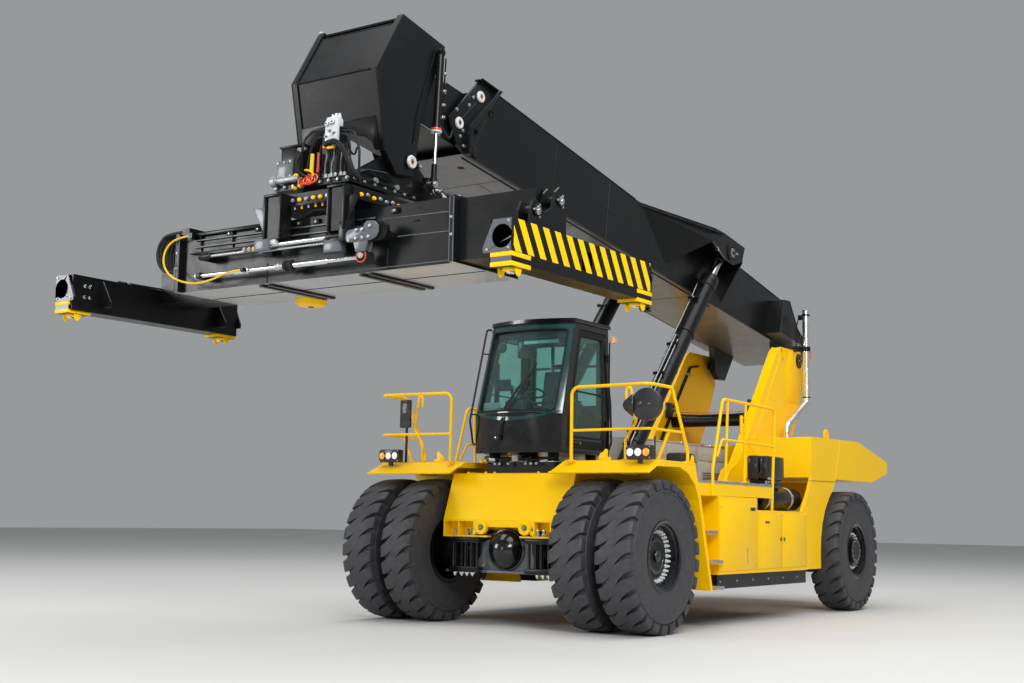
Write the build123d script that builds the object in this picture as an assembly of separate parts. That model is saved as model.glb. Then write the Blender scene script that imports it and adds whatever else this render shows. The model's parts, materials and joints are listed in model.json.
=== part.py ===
from build123d import *
import math
import os

# Reach stacker for laden containers.  Millimetres, +Z up, the machine faces -Y.
# Heights are above the ground, widths either side of the centre plane X = 0, and lengths
# are taken from the drive axle.  ORIGIN_Y moves the finished pieces so that the origin is
# under the middle of the whole machine.

# ---------------------------------------------------------------- driving dimensions
WHEELBASE = 6300
TYRE_RADIUS = 900
TYRE_WIDTH = 455
RIM_RADIUS = 405
LUGS = 20
TWIN_TYRES_X = (1229, 1849)
STEER_TYRE_X = 1861
KINGPIN_X = 1400

FRAME_X = (575, 735)
FRAME_TOP_Z = 1775
DECK_Z = 1820
FENDER_TOP_Z = 2010
FENDER_OUT_X = 2075
SIDE_X = 1980

BOOM_PIVOT = (6970, 3950)
BOOM_ANGLE = 7.45
BOOM_PIN_RADIUS = 70
OUTER_HALF_WIDTH = 600
OUTER_WALL = 40
INNER_HALF_WIDTH = 520
TOWER_X = (735, 875)

LIFT_X = 760
LIFT_BASE = (1310, 1950)
LIFT_EYE_ST = (2835, 990)
LIFT_PIN_RADIUS = 55
BARREL_RADIUS = 125
LIFT_ROD_RADIUS = 68
BARREL_LENGTH = 3900
LIFT_ROD_FOOT = 720
LIFT_EYE_RADIUS = 90

HEAD_PIN_ST = (10115, -200)
HEAD_PIN_RADIUS = 60
DAMPER_X = 650
DAMPER_PIN_RADIUS = 22
DAMPER_ROD_FOOT = 600
DAMPER_TOP = (-2640, 6400)
DAMPER_EYE = (-2720, 4900)

SLEW_Y = -3434
TWISTLOCK_X = 2927
TWISTLOCK_PITCH_Y = 2259
TWISTLOCK_TIP_Z = 3420
LOCK_HEAD_DEPTH = 30
BEAM_Z = (3715, 4360)
BEAM_DEPTH = 1060
BEAM_HALF_LENGTH = 1900
BEAM_WALL = 15
ARM_PLAY = 5
ARM_INNER_X = -1850
END_BEAM_X = (2780, 3030)
END_BEAM_DEPTH = 2540
END_BEAM_Z = (3500, 3895)
CORNER_TOP_Z = 3600
END_PLATE = ((2735, 3596), (3030, 3596), (3030, 3890), (2835, 3890), (2725, 3640))

CAB_HALF_WIDTH = 650
CAB_REAR_Y = 1150
CAB_FLOOR_Z = 2120
CAB_SILL_Z = 2600
CAB_ROOF_Z = 3780

REAR_END_Y = 8250
FRONT_END_Y = SLEW_Y - END_BEAM_DEPTH / 2
ORIGIN_Y = (FRONT_END_Y + REAR_END_Y) / 2

RUNNING = 0.05
SIDES = ((-1, "right"), (1, "left"))

pieces = {}


# ---------------------------------------------------------------- shaping helpers
def block(x, y, z):
    """A box between the low and high values given for each direction."""
    middle = Pos((x[0] + x[1]) / 2, (y[0] + y[1]) / 2, (z[0] + z[1]) / 2)
    return middle * Box(x[1] - x[0], y[1] - y[0], z[1] - z[0])


def side_profile(points, x):
    """A plate or prism with the (y, z) outline given, between two X values."""
    face = Plane.YZ * make_face(Polyline(*points, close=True))
    return Pos(x[0], 0, 0) * extrude(face, x[1] - x[0], dir=(1, 0, 0))


def front_profile(points, y):
    """A plate or prism with the (x, z) outline given, between two Y values."""
    face = Plane.XZ * make_face(Polyline(*points, close=True))
    return Pos(0, y[0], 0) * extrude(face, y[1] - y[0], dir=(0, 1, 0))


def bar(start, end, radius):
    """A round bar from one point to another."""
    run = Vector(*end) - Vector(*start)
    return extrude(Plane(origin=start, z_dir=run) * Circle(radius), run.length)


def cross_bar(place, x, radius):
    """A round bar along X between two X values, at the (y, z) place."""
    return bar((x[0], *place), (x[1], *place), radius)


def tube(points, radius, bend):
    """A round rail along straight runs with rounded corners."""
    route = FilletPolyline(*points, radius=bend)
    return sweep(Plane(origin=route @ 0, z_dir=route % 0) * Circle(radius), path=route)


def solid_of(corners, faces):
    """A flat-faced solid from its corners and the corner numbers round each face."""
    skins = [Face(Wire.make_polygon([corners[n] for n in face])) for face in faces]
    return Solid(Shell(skins))


def mirrored(shape):
    """The shape and its mirror image on the other side of the centre plane."""
    return shape + mirror(shape, Plane.YZ)


def on_side(shape, side):
    """The shape as drawn for the +X side, or its mirror image for the -X side."""
    return shape if side > 0 else mirror(shape, Plane.YZ)


BOOM_COS = math.cos(math.radians(BOOM_ANGLE))
BOOM_SIN = math.sin(math.radians(BOOM_ANGLE))


def on_boom(s, t):
    """The (y, z) of a point s along the boom from its pivot and t above it."""
    y = BOOM_PIVOT[0] - s * BOOM_COS + t * BOOM_SIN
    z = BOOM_PIVOT[1] + s * BOOM_SIN + t * BOOM_COS
    return (y, z)


def boom_profile(points, x):
    """A prism whose outline is given in the boom's own (s, t)."""
    return side_profile([on_boom(s, t) for s, t in points], x)


def boom_box(s, t, x):
    """A box lying along the boom."""
    return boom_profile([(s[0], t[0]), (s[1], t[0]), (s[1], t[1]), (s[0], t[1])], x)


LIFT_EYE = on_boom(*LIFT_EYE_ST)


# ---------------------------------------------------------------- wheels
LUG_PITCH = 2 * math.pi / LUGS
LUG_SHARE = 0.60
TYRE_BORE = 412
# The tread across one half of a tyre: (distance from its middle, radius on the lugs, radius between them).
HALF_TREAD = ((0, TYRE_RADIUS, TYRE_RADIUS - 52), (TYRE_WIDTH / 2, TYRE_RADIUS - 9, TYRE_RADIUS - 110))


def lug_outline(x, top, root, turn):
    """The corners round the lugs and the gaps between them, in the plane at x."""
    corners = []
    for lug in range(LUGS):
        for radius, share in ((root, -LUG_SHARE), (top, -LUG_SHARE), (top, LUG_SHARE), (root, LUG_SHARE)):
            angle = LUG_PITCH * (lug + share / 2) + turn
            corners.append((x, radius * math.cos(angle), radius * math.sin(angle)))
    return corners


def half_tyre(side):
    """Half of a tyre out to its side wall; the lugs of the two halves are staggered."""
    turn = math.pi / 2 + side * LUG_PITCH / 4
    rings = [lug_outline(side * x, top, root, turn) for x, top, root in HALF_TREAD]
    turns = [LUG_PITCH * n for n in range(LUGS)]
    bores = [[(side * x, TYRE_BORE * math.cos(turn), TYRE_BORE * math.sin(turn)) for turn in turns]
             for x, top, root in HALF_TREAD]
    faces = []
    for inner, outer in (rings, bores):
        for n in range(len(inner)):
            m = (n + 1) % len(inner)
            faces.append(Face(Wire.make_polygon([inner[n], inner[m], outer[m], outer[n]])))
    for ring, bore in zip(rings, bores):
        faces.append(Face(Wire.make_polygon(ring), [Wire.make_polygon(bore)]))
    return Solid(Shell(faces))


WHOLE_TYRE = half_tyre(1).fuse(half_tyre(-1))


def tyre(x_middle, y):
    """One tyre with its staggered shoulder lugs, standing on the ground."""
    return Pos(x_middle, y, TYRE_RADIUS) * WHOLE_TYRE


def disc(x, y, radius, hole=0):
    """A disc or ring along X between two X values, at axle height."""
    round_piece = Cylinder(radius, x[1] - x[0])
    if hole:
        round_piece -= Cylinder(hole, x[1] - x[0] + 2)
    return Pos((x[0] + x[1]) / 2, y, TYRE_RADIUS) * Rot(0, 90, 0) * round_piece


# Each rim: barrel, dished plate, hub and hub cap as (x from, x to, radius, hole).
FRONT_RIM = (
    (1020, 2058, RIM_RADIUS - 1, 370),
    (1695, 1885, 200, 0),
    (1884, 1924, 371, 0),
    (1923, 1950, 205, 0),
    (1949, 1975, 60, 0),
)
REAR_RIM = (
    (STEER_TYRE_X - 205, STEER_TYRE_X + 205, RIM_RADIUS - 1, 370),
    (1900, 1940, 371, 0),
    (1939, 2055, 185, 0),
)


def rim(rows, y):
    """A rim and its hub, joined from the rows of a rim table."""
    parts = [disc((start, end), y, radius, hole) for start, end, radius, hole in rows]
    return parts[0].fuse(*parts[1:])


for side, hand in SIDES:
    twins = Compound([tyre(x, 0) for x in TWIN_TYRES_X])
    pieces["front_tyres_" + hand] = on_side(twins, side)
    pieces["front_rims_" + hand] = on_side(rim(FRONT_RIM, 0), side)
    pieces["rear_tyre_" + hand] = on_side(tyre(STEER_TYRE_X, WHEELBASE), side)
    pieces["rear_rim_" + hand] = on_side(rim(REAR_RIM, WHEELBASE), side)

# ---------------------------------------------------------------- axles and steering knuckles
FRONT_AXLE = (0, TYRE_RADIUS)
REAR_AXLE = (WHEELBASE, TYRE_RADIUS)
housing = block((-520, 520), (-205, 230), (660, 1160))
housing += mirrored(cross_bar(FRONT_AXLE, (500, 980), 215) + cross_bar(FRONT_AXLE, (970, 1690), 165))
housing += Pos(0, -190, 925) * Sphere(235)
# Clamps that hold the axle up to the frame, with long bolts between the upper and the lower one.
CLAMP_X = (355, 775)
CLAMP_Y = (-335, -190)
CLAMP_BOLTS_X = (385, 476, 559, 743)
clamp = block(CLAMP_X, CLAMP_Y, (1005, 1070)) + block(CLAMP_X, CLAMP_Y, (640, 710))
for x in CLAMP_BOLTS_X:
    clamp += bar((x, -300, 700), (x, -300, 1010), 17)
pieces["drive_axle"] = housing + mirrored(clamp)

YOKE_HEIGHTS = ((560, 625), (1175, 1240))
steer = block((-1181, 1181), (WHEELBASE - 190, WHEELBASE + 190), (690, 1090))
steer += mirrored(block((1120, 1181), (WHEELBASE - 130, WHEELBASE + 130), (560, 1240)))
for low, high in YOKE_HEIGHTS:
    yoke = block((1180, KINGPIN_X + 105), (WHEELBASE - 110, WHEELBASE + 110), (low, high))
    yoke -= Pos(KINGPIN_X, WHEELBASE, (low + high) / 2) * Cylinder(60 + RUNNING, 80)
    steer += mirrored(yoke)
pieces["steer_axle"] = steer
for side, hand in SIDES:
    kingpin = Pos(KINGPIN_X, WHEELBASE, TYRE_RADIUS)
    knuckle = kingpin * Cylinder(105, 540) + kingpin * Cylinder(60, 670)
    knuckle += cross_bar(REAR_AXLE, (KINGPIN_X, 1890), 95)
    pieces["knuckle_" + hand] = on_side(knuckle, side)

# ---------------------------------------------------------------- chassis
FRAME_OUTLINE = (
    (-60, 1165), (450, 1165), (650, 760), (5050, 760), (5350, 1330), (7900, 1330),
    (7900, 1600), (6500, FRAME_TOP_Z), (-60, FRAME_TOP_Z),
)
frame = mirrored(side_profile(FRAME_OUTLINE, FRAME_X))
# Cross members: (y from, y to, z from, z to)
CROSS_MEMBERS = (
    (-60, 60, 1335, 1595), (1500, 1640, 1335, 1595), (4100, 4300, 1335, 1595),
    (4850, 5000, 1335, 1595), (7760, 7900, 1335, 1590), (61, 1850, 1725, FRAME_TOP_Z),
)
members = [block((-FRAME_X[0], FRAME_X[0]), row[0:2], row[2:4]) for row in CROSS_MEMBERS]
frame = frame.fuse(*members)
BRACKET = ((1000, FRAME_TOP_Z), (1150, 2080), (1470, 2080), (1600, FRAME_TOP_Z), (1600, 1500), (1000, 1500))
BRACKET_GAP = BARREL_RADIUS + 6
BRACKET_PLATE = 20
BRACKET_X = (LIFT_X - BRACKET_GAP - BRACKET_PLATE, LIFT_X + BRACKET_GAP + BRACKET_PLATE)
bracket = side_profile(BRACKET, BRACKET_X)
bracket -= block((LIFT_X - BRACKET_GAP, LIFT_X + BRACKET_GAP), (900, 1700), (FRAME_TOP_Z, 2200))
bracket += cross_bar(LIFT_BASE, BRACKET_X, LIFT_PIN_RADIUS)
pieces["chassis_frame"] = frame + mirrored(bracket)

STAND_TOP_Z = 2010
stand = block((-500, 500), (60, 1100), (FRAME_TOP_Z + 1, STAND_TOP_Z))
for x, y in ((-440, 130), (440, 130), (-440, 1030), (440, 1030), (0, 130)):
    stand += Pos(x, y, (STAND_TOP_Z + CAB_FLOOR_Z) / 2 - 1) * Cylinder(62, CAB_FLOOR_Z - STAND_TOP_Z)
pieces["cab_stand"] = stand

BUMPER_X = 909
BUMPER = (
    (-104, 1861), (-300, 1291), (-300, 1200), (-280, 1200), (-280, 1268), (-160, 1268),
    (-160, 1165), (-140, 1165), (-140, 1291), (-255, 1291), (-61, 1740), (-61, 1861),
)
bumper = side_profile(BUMPER, (-BUMPER_X, BUMPER_X))
# Below the plate a row of open cells, each part as (x from, x to, y from, y to, z from, z to).
CELL_PARTS = (
    (430, 450, -300, -210, 1075, 1280),
    (670, 690, -300, -150, 1075, 1280),
    (889, BUMPER_X, -300, -150, 1075, 1280),
    (240, BUMPER_X, -300, -210, 1075, 1095),
    (530, BUMPER_X, -211, -140, 1075, 1095),
    (530, BUMPER_X, -160, -140, 1075, 1170),
)
for row in CELL_PARTS:
    bumper += mirrored(block(row[0:2], row[2:4], row[4:6]))
for x in ((451, 669), (691, 888)):
    bumper -= mirrored(block(x, (-310, -279), (1096, 1267)))
TOW_EYE = (322, 1195)
bumper += mirrored(Pos(TOW_EYE[0], -300, TOW_EYE[1]) * Rot(90, 0, 0) * Cylinder(88, 42))
bumper -= mirrored(Pos(TOW_EYE[0], -300, TOW_EYE[1]) * Rot(90, 0, 0) * Cylinder(34, 60))
pieces["front_bumper"] = bumper

FENDER = (
    (-430, 1865), (-95, FENDER_TOP_Z), (745, FENDER_TOP_Z), (917, 1573), (1120, 860), (1230, 470),
    (1178, 470), (1014, 990), (852, 1572), (752, 1745), (557, 1883), (337, 1946), (-260, 1935), (-425, 1848),
)
fender = side_profile(FENDER, (FRAME_X[1], FENDER_OUT_X))
fender += block((FRAME_X[1], 760), (0, 700), (1400, 1890))
pieces["fenders"] = mirrored(fender)

# ---------------------------------------------------------------- side structure
deck = block((FRAME_X[1], 1939), (850, 3290), (FRAME_TOP_Z, DECK_Z))
deck -= block((600, BRACKET_X[1] + 5), (840, 1640), (1700, 1900))
deck += block((1939, SIDE_X), (1000, 3290), (1635, DECK_Z))

# Steps: (x from, x to, y from, y to, z from, z to)
STEPS = (
    (1650, 2060, 1260, 1560, 790, 830),
    (1650, 2075, 1300, 1560, 470, 510),
    (1650, 1990, 1260, 1560, 1150, 1190),
    (1640, 1665, 1240, 1560, 470, 1634),
)
ladder = [block(row[0:2], row[2:4], row[4:6]) for row in STEPS]
pieces["platforms"] = mirrored(deck.fuse(*ladder))

# Cabinets between the axles: (y from, y to, z from, z to)
CABINETS = ((1605, 2795, 650, 1630), (2794, 4530, 650, 1470))
boxes = [block((FRAME_X[1], SIDE_X), row[0:2], row[2:4]) for row in CABINETS]
boxes.append(block((FRAME_X[1], SIDE_X - 30), (1620, 4530), (470, 651)))
pieces["side_cabinets"] = mirrored(boxes[0].fuse(*boxes[1:]))
drum = bar((1640, 3420, 1645), (1640, 4800, 1645), 160)
for y in (3600, 4400):
    drum += block((1560, 1720), (y, y + 60), (1471, 1530))
# Black boxes and the stands under them: (x from, x to, y from, y to, z from, z to)
SIDE_BOXES = (
    (1300, 1560, 1450, 1830, 1821, 2180),
    (1480, 1800, 3560, 4160, 1900, 2240),
    (1500, 1780, 3620, 4100, 1790, 1901),
)
boxes = [block(row[0:2], row[2:4], row[4:6]) for row in SIDE_BOXES]
pieces["side_tanks"] = mirrored(drum.fuse(*boxes))

pieces["service_hood"] = block((-565, 565), (1900, 4840), (1600, 2420))
pieces["engine_block"] = block((-450, 450), (2300, 3900), (640, 1330))

# ---------------------------------------------------------------- boom towers
TOWER = (
    (3950, 1480), (4300, 2050), (4577, 2158), (4929, 2557), (6110, 4014), (6230, 4100), (7070, 4100),
    (7215, 3650), (6883, 2962), (6163, 1994), (6000, 1480),
)
tower = side_profile(TOWER, TOWER_X)
tower -= cross_bar(BOOM_PIVOT, (TOWER_X[0] - 5, TOWER_X[1] + 5), BOOM_PIN_RADIUS + RUNNING)
tie = cross_bar((5650, 2900), (-TOWER_X[0] - 20, TOWER_X[0] + 20), 90)
pieces["towers"] = tie.fuse(tower, mirror(tower, Plane.YZ))

# ---------------------------------------------------------------- rear body and counterweight
REAR_BODY = (
    (4900, 1975), (4930, 2572), (6900, 2600), (8204, 2627),
    (REAR_END_Y, 2484), (REAR_END_Y, 2147), (7500, 1975),
)
BODY_OUT_X = 1900
body = side_profile(REAR_BODY, (TOWER_X[1], BODY_OUT_X))
# A long chamfer takes the rear outer edge off, widening towards the back.
CHAMFER = ((1902, 6850, 2605), (1902, 8400, 2300), (1400, 8400, 2640), (1902, 8400, 2900))
body -= solid_of(CHAMFER, ((0, 1, 2), (0, 1, 3), (1, 2, 3), (0, 2, 3)))
ARCH = (
    (4540, 650), (5240, 650), (5235, 900), (5255, 1100), (5315, 1300), (5425, 1500), (5630, 1720),
    (5780, 1835), (5880, 1976), (4905, 1976), (4810, 1800), (4540, 1470),
)
body += side_profile(ARCH, (BODY_OUT_X - 40, BODY_OUT_X))
pieces["rear_bodies"] = mirrored(body)
WEIGHT = (
    (7240, 1975), (7240, 2600), (8204, 2627), (REAR_END_Y, 2484), (REAR_END_Y, 1150), (8150, 1000),
    (7920, 1000), (7920, 1975),
)
pieces["counterweight"] = side_profile(WEIGHT, (-TOWER_X[1], TOWER_X[1]))
EXHAUST = ((1090, 5950, 2589), (1090, 5950, 2810), (1090, 6790, 3250), (1090, 6790, 4760))
pieces["exhaust_pipe"] = tube(EXHAUST, 55, 150)

# ---------------------------------------------------------------- cab
# Sections of the cab from the floor up: (z, half width, y of the front corners, bow of the front)
CAB_SECTIONS = (
    (CAB_FLOOR_Z, 640, -10, 170),
    (CAB_SILL_Z, CAB_HALF_WIDTH, -10, 200),
    (CAB_ROOF_Z, 620, 320, 160),
)


def cab_outline(x, y, bow, back):
    """The cab's outline from above: a bowed front and square rear corners."""
    front = ThreePointArc((-x, y), (0, y - bow), (x, y))
    rest = Polyline((x, y), (x, back), (-x, back), (-x, y))
    return make_face([*front.edges(), *rest.edges()])


def cab_body(inset, low=0, high=0):
    """The cab's closed outer form drawn in by inset, cut short by low and high."""
    sections = []
    for z, half, corner, bow in CAB_SECTIONS:
        level = z + (low if z == CAB_FLOOR_Z else 0) - (high if z == CAB_ROOF_Z else 0)
        outline = cab_outline(half - inset, corner + inset, bow, CAB_REAR_Y - inset)
        sections.append(Pos(0, 0, level) * outline)
    return loft(sections, ruled=True)


WALL = 45
DOOR_Y = (110, 1080)
DOOR_Z = (2190, 3700)
DOOR_GAP = 6
DOOR_LEAN = 305
DOOR_KNEE_Z = 2600
WINDOW_Z = 2640
DOOR_WINDOW_Z = 2290
HINGE = (668, 1078)
HINGE_HEIGHTS = (2470, 3340)


def door_shape(inset):
    """The door's outline, leaning back with the front post, drawn in by inset."""
    front = DOOR_Y[0] + inset
    lean = DOOR_LEAN * (DOOR_Z[1] - inset - DOOR_KNEE_Z) / (DOOR_Z[1] - DOOR_KNEE_Z)
    back = DOOR_Y[1] - inset
    low, high = DOOR_Z[0] + inset, DOOR_Z[1] - inset
    outline = ((front, low), (front, DOOR_KNEE_Z), (front + lean, high), (back, high), (back, low))
    return side_profile(outline, (450, 700))


def windscreen_shape(inset):
    """The windscreen's opening seen from the side, with its slanted rear limit."""
    low, high = WINDOW_Z + inset, 3690 - inset
    side = 565 - inset
    return side_profile(((-400, low), (40 - inset, low), (345 - inset, high), (-400, high)), (-side, side))


rear_hole = block((-480, 480), (1050, 1200), (2750, 3650))
rear_pane = block((-479, 479), (1050, 1200), (2751, 3649))
shell = cab_body(0) - cab_body(WALL, WALL, WALL)
glass_skin = cab_body(14, 14, 14) - cab_body(22, 22, 22)
pieces["cab_shell"] = shell - mirrored(door_shape(0)) - windscreen_shape(0) - rear_hole
pieces["cab_glass"] = (glass_skin & windscreen_shape(1)) + (glass_skin & rear_pane)
ROOF_LIP = 14
ROOF_THICKNESS = 45
roof_z, roof_half, roof_y, roof_bow = CAB_SECTIONS[-1]
roof = Pos(0, 0, roof_z) * cab_outline(roof_half + ROOF_LIP, roof_y - ROOF_LIP, roof_bow, CAB_REAR_Y + 40)
pieces["cab_roof"] = extrude(roof, ROOF_THICKNESS, dir=(0, 0, 1))
window_band = block((400, 800), (0, 1200), (DOOR_WINDOW_Z, 3700))
hinges = [bar((HINGE[0], HINGE[1], z), (HINGE[0], HINGE[1], z + 90), 13) for z in HINGE_HEIGHTS]
hinges += [block((600, HINGE[0]), (1030, DOOR_Y[1] - DOOR_GAP), (z + 5, z + 85)) for z in HINGE_HEIGHTS]
for side, hand in SIDES:
    leaf = (shell & door_shape(DOOR_GAP)) - (door_shape(75) & window_band)
    pieces["cab_door_" + hand] = on_side(leaf.fuse(*hinges), side)
    pane = glass_skin & door_shape(76) & block((400, 800), (0, 1200), (DOOR_WINDOW_Z + 1, 3700))
    pieces["door_glass_" + hand] = on_side(pane, side)
SEAT = ((380, 2620), (900, 2600), (1010, 3330), (890, 3330), (830, 2740), (380, 2740))
pieces["seat"] = side_profile(SEAT, (-250, 250)) + block((-160, 160), (500, 800), (2166, 2621))
console = bar((0, 120, 2176), (0, 260, 2880), 45) + block((-90, 90), (40, 200), (2166, 2200))
console += bar((0, 245, 2860), (0, 268, 2935), 200)
pieces["steering_column"] = console

# ---------------------------------------------------------------- boom
OUTER_BOOM = (
    (9180, 250), (8620, 1190), (5200, 1060), (1800, 1095), (190, 1020), (-900, 600), (-1110, 250),
)
boom = boom_profile(OUTER_BOOM, (-OUTER_HALF_WIDTH, OUTER_HALF_WIDTH))
inside = OUTER_HALF_WIDTH - OUTER_WALL
boom -= boom_profile(((9300, 290), (9300, 1040), (5200, 1015), (1500, 1015), (1500, 290)), (-inside, inside))
FOOT = ((330, 260), (230, -160), (60, -260), (-160, -230), (-450, 260))
foot = boom_profile(FOOT, (500, OUTER_HALF_WIDTH))
foot += cross_bar(BOOM_PIVOT, (590, TOWER_X[1] + 20), BOOM_PIN_RADIUS)
foot += boom_profile(((780, 300), (690, 860), (450, 900), (107, 560), (-150, 300)), (590, TOWER_X[1]))
boom += mirrored(foot)
LUG_X = (895, 935)
LUG = ((3440, 990), (3140, 1205), (2390, 1197), (2460, 960), (2700, 850), (3000, 850))
lug = boom_profile(LUG, LUG_X)
# The wing in front of the lug closes the space between it and the side of the boom.
WING_ST = ((5150, 1020, 575), (4330, 380, 575), (3440, 990, 920), (3140, 1203, 920), (3350, 1060, 575))
wing_corners = [(x, *on_boom(s, t)) for s, t, x in WING_ST]
lug += solid_of(wing_corners, ((0, 1, 2), (0, 2, 3), (0, 3, 4), (0, 4, 1), (1, 4, 2), (2, 4, 3)))
# The roof over the lug follows a folded line along the boom and tapers in plan at both ends.
ROOF_LINE = (
    (5200, 1020), (3140, 1192), (2390, 1185), (1850, 1055),
    (1850, 1080), (2390, 1210), (3140, 1217), (5200, 1045),
)
ROOF_PLAN = ((5200, 560), (5200, 600), (3440, LUG_X[1]), (2390, LUG_X[1]), (1900, 600), (1900, 560))
plan_at = Plane(origin=(0, *BOOM_PIVOT), x_dir=(0, -BOOM_COS, BOOM_SIN), z_dir=(0, BOOM_SIN, BOOM_COS))
plan = plan_at * Pos(0, 0, 900) * extrude(make_face(Polyline(*ROOF_PLAN, close=True)), 400)
lug += boom_profile(ROOF_LINE, (540, LUG_X[1])) & plan
LUG_FILL = ((5100, 1040), (3140, 1204), (2390, 1197), (1950, 1090), (1950, 900), (5100, 900))
lug += boom_profile(LUG_FILL, (570, OUTER_HALF_WIDTH))
WEB_ST = ((2400, 300, 575), (2400, 960, 915), (2400, 1197, 915), (2400, 1197, 575))
web_rear = [(x, *on_boom(s, t)) for s, t, x in WEB_ST]
web_front = [(x, *on_boom(s + 30, t)) for s, t, x in WEB_ST]
lug += solid_of(web_rear + web_front, (
    (0, 1, 2, 3), (4, 5, 6, 7), (0, 1, 5, 4), (1, 2, 6, 5), (2, 3, 7, 6), (3, 0, 4, 7),
))
boom += mirrored(lug)
pieces["outer_boom"] = boom

inner = boom_box((2600, 10330), (320, 985), (-INNER_HALF_WIDTH, INNER_HALF_WIDTH))
inner -= boom_box((2590, 10400), (355, 950), (35 - INNER_HALF_WIDTH, INNER_HALF_WIDTH - 35))
HOOD = (
    (10300, -400), (10520, -210), (10810, 610), (10530, 1273),
    (10490, 1360), (9720, 1320), (9990, 390), (10020, -330),
)
cheek = boom_profile(HOOD, (INNER_HALF_WIDTH, 600))
cheek -= cross_bar(on_boom(*HEAD_PIN_ST), (500, 700), HEAD_PIN_RADIUS + RUNNING)
cheek += cross_bar(DAMPER_TOP, (OUTER_HALF_WIDTH - 1, DAMPER_X + 40), DAMPER_PIN_RADIUS)
# Plates across the hood between its cheeks, each a strip in (s, t).
HOOD_PLATES = (
    ((10620, 120), (10795, 610), (10520, 1250), (10490, 1250), (10765, 610), (10590, 120)),
    ((9750, 1275), (9750, 1300), (10480, 1335), (10480, 1310)),
    ((9905, 975), (9935, 975), (9785, 1290), (9755, 1290)),
)
hood = [boom_profile(plate, (-540, 540)) for plate in HOOD_PLATES]
pieces["inner_boom"] = inner.fuse(cheek, mirror(cheek, Plane.YZ), *hood)

# ---------------------------------------------------------------- lift cylinders
lift_run = Vector(0, LIFT_EYE[0] - LIFT_BASE[0], LIFT_EYE[1] - LIFT_BASE[1])


def along_lift(distance):
    """A point on the lift cylinder's centre line, measured from its base pin."""
    point = Vector(LIFT_X, *LIFT_BASE) + lift_run.normalized() * distance
    return (point.X, point.Y, point.Z)


for side, hand in SIDES:
    barrel = bar(along_lift(60), along_lift(BARREL_LENGTH), BARREL_RADIUS)
    barrel += cross_bar(LIFT_BASE, (LIFT_X - 75, LIFT_X + 75), 115)
    barrel -= bar(along_lift(300), along_lift(BARREL_LENGTH + 10), LIFT_ROD_RADIUS + RUNNING)
    barrel -= cross_bar(LIFT_BASE, (LIFT_X - 200, LIFT_X + 200), LIFT_PIN_RADIUS + RUNNING)
    pieces["lift_barrel_" + hand] = on_side(barrel, side)
    rod = bar(along_lift(LIFT_ROD_FOOT), along_lift(lift_run.length - 20), LIFT_ROD_RADIUS)
    rod += cross_bar(LIFT_EYE, (LIFT_X - 75, LIFT_X + 75), LIFT_EYE_RADIUS)
    pieces["lift_rod_" + hand] = on_side(rod, side)

# ---------------------------------------------------------------- spreader head
HEAD_PIN = on_boom(*HEAD_PIN_ST)
HEAD_CHEEK = (
    (HEAD_PIN[0] - 120, HEAD_PIN[1] + 120), (HEAD_PIN[0] + 130, HEAD_PIN[1] + 110),
    (-2560, 4900), (-2560, 4690), (-3900, 4690), (-3800, 4830),
)
cheek = side_profile(HEAD_CHEEK, (420, 510))
cheek += cross_bar(HEAD_PIN, (420, 625), HEAD_PIN_RADIUS)
arm = block((500, 615), (-2800, -2600), (4690, 4790)) + block((560, 615), (-2800, -2640), (4789, 4960))
head = block((-510, 510), (-3950, -2560), (4690, 4750)) + Pos(0, SLEW_Y, 4660) * Cylinder(430, 62)
# Valve block and junction box standing on the head: (x from, x to, y from, y to, z from, z to)
HEAD_BOXES = ((-400, -190, -3940, -3760, 4749, 5120), (130, 330, -3940, -3760, 4749, 5300))
boxes = [block(row[0:2], row[2:4], row[4:6]) for row in HEAD_BOXES]
pieces["head_frame"] = head.fuse(cheek, mirror(cheek, Plane.YZ), arm, mirror(arm, Plane.YZ), *boxes)
damper_run = Vector(0, DAMPER_EYE[0] - DAMPER_TOP[0], DAMPER_EYE[1] - DAMPER_TOP[1])


def along_damper(distance):
    """A point on the damping cylinder's centre line, measured down from its top eye."""
    point = Vector(DAMPER_X, *DAMPER_TOP) + damper_run.normalized() * distance
    return (point.X, point.Y, point.Z)


for side, hand in SIDES:
    barrel = cross_bar(DAMPER_TOP, (DAMPER_X - 30, DAMPER_X + 30), 48)
    barrel += bar(along_damper(20), along_damper(900), 42)
    barrel -= bar(along_damper(60), along_damper(910), 20 + RUNNING)
    barrel -= cross_bar(DAMPER_TOP, (DAMPER_X - 50, DAMPER_X + 50), DAMPER_PIN_RADIUS + RUNNING)
    pieces["damper_barrel_" + hand] = on_side(barrel, side)
    rod = bar(along_damper(DAMPER_ROD_FOOT), along_damper(damper_run.length - 20), 20)
    rod += cross_bar(DAMPER_EYE, (DAMPER_X - 30, DAMPER_X + 30), 45)
    rod += cross_bar(DAMPER_EYE, (DAMPER_X - 30, DAMPER_X + 40), DAMPER_PIN_RADIUS)
    pieces["damper_rod_" + hand] = on_side(rod, side)

# ---------------------------------------------------------------- slewing carriage
carriage = block((-560, 680), (-4070, -2800), (4480, 4600)) + Pos(0, SLEW_Y, 4614) * Cylinder(400, 29)
# Legs that hold the beam, in front of it and behind: (x from, x to, y from, y to)
LEGS = (
    (-430, -200, -4165, -4015), (440, 660, -4165, -4015),
    (-430, -200, -2853, -2703), (440, 660, -2853, -2703),
)
LEG_BOTTOM_Z = 4130
legs = [block(row[0:2], row[2:4], (LEG_BOTTOM_Z, 4599)) for row in LEGS]
pieces["slew_carriage"] = carriage.fuse(*legs)

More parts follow.
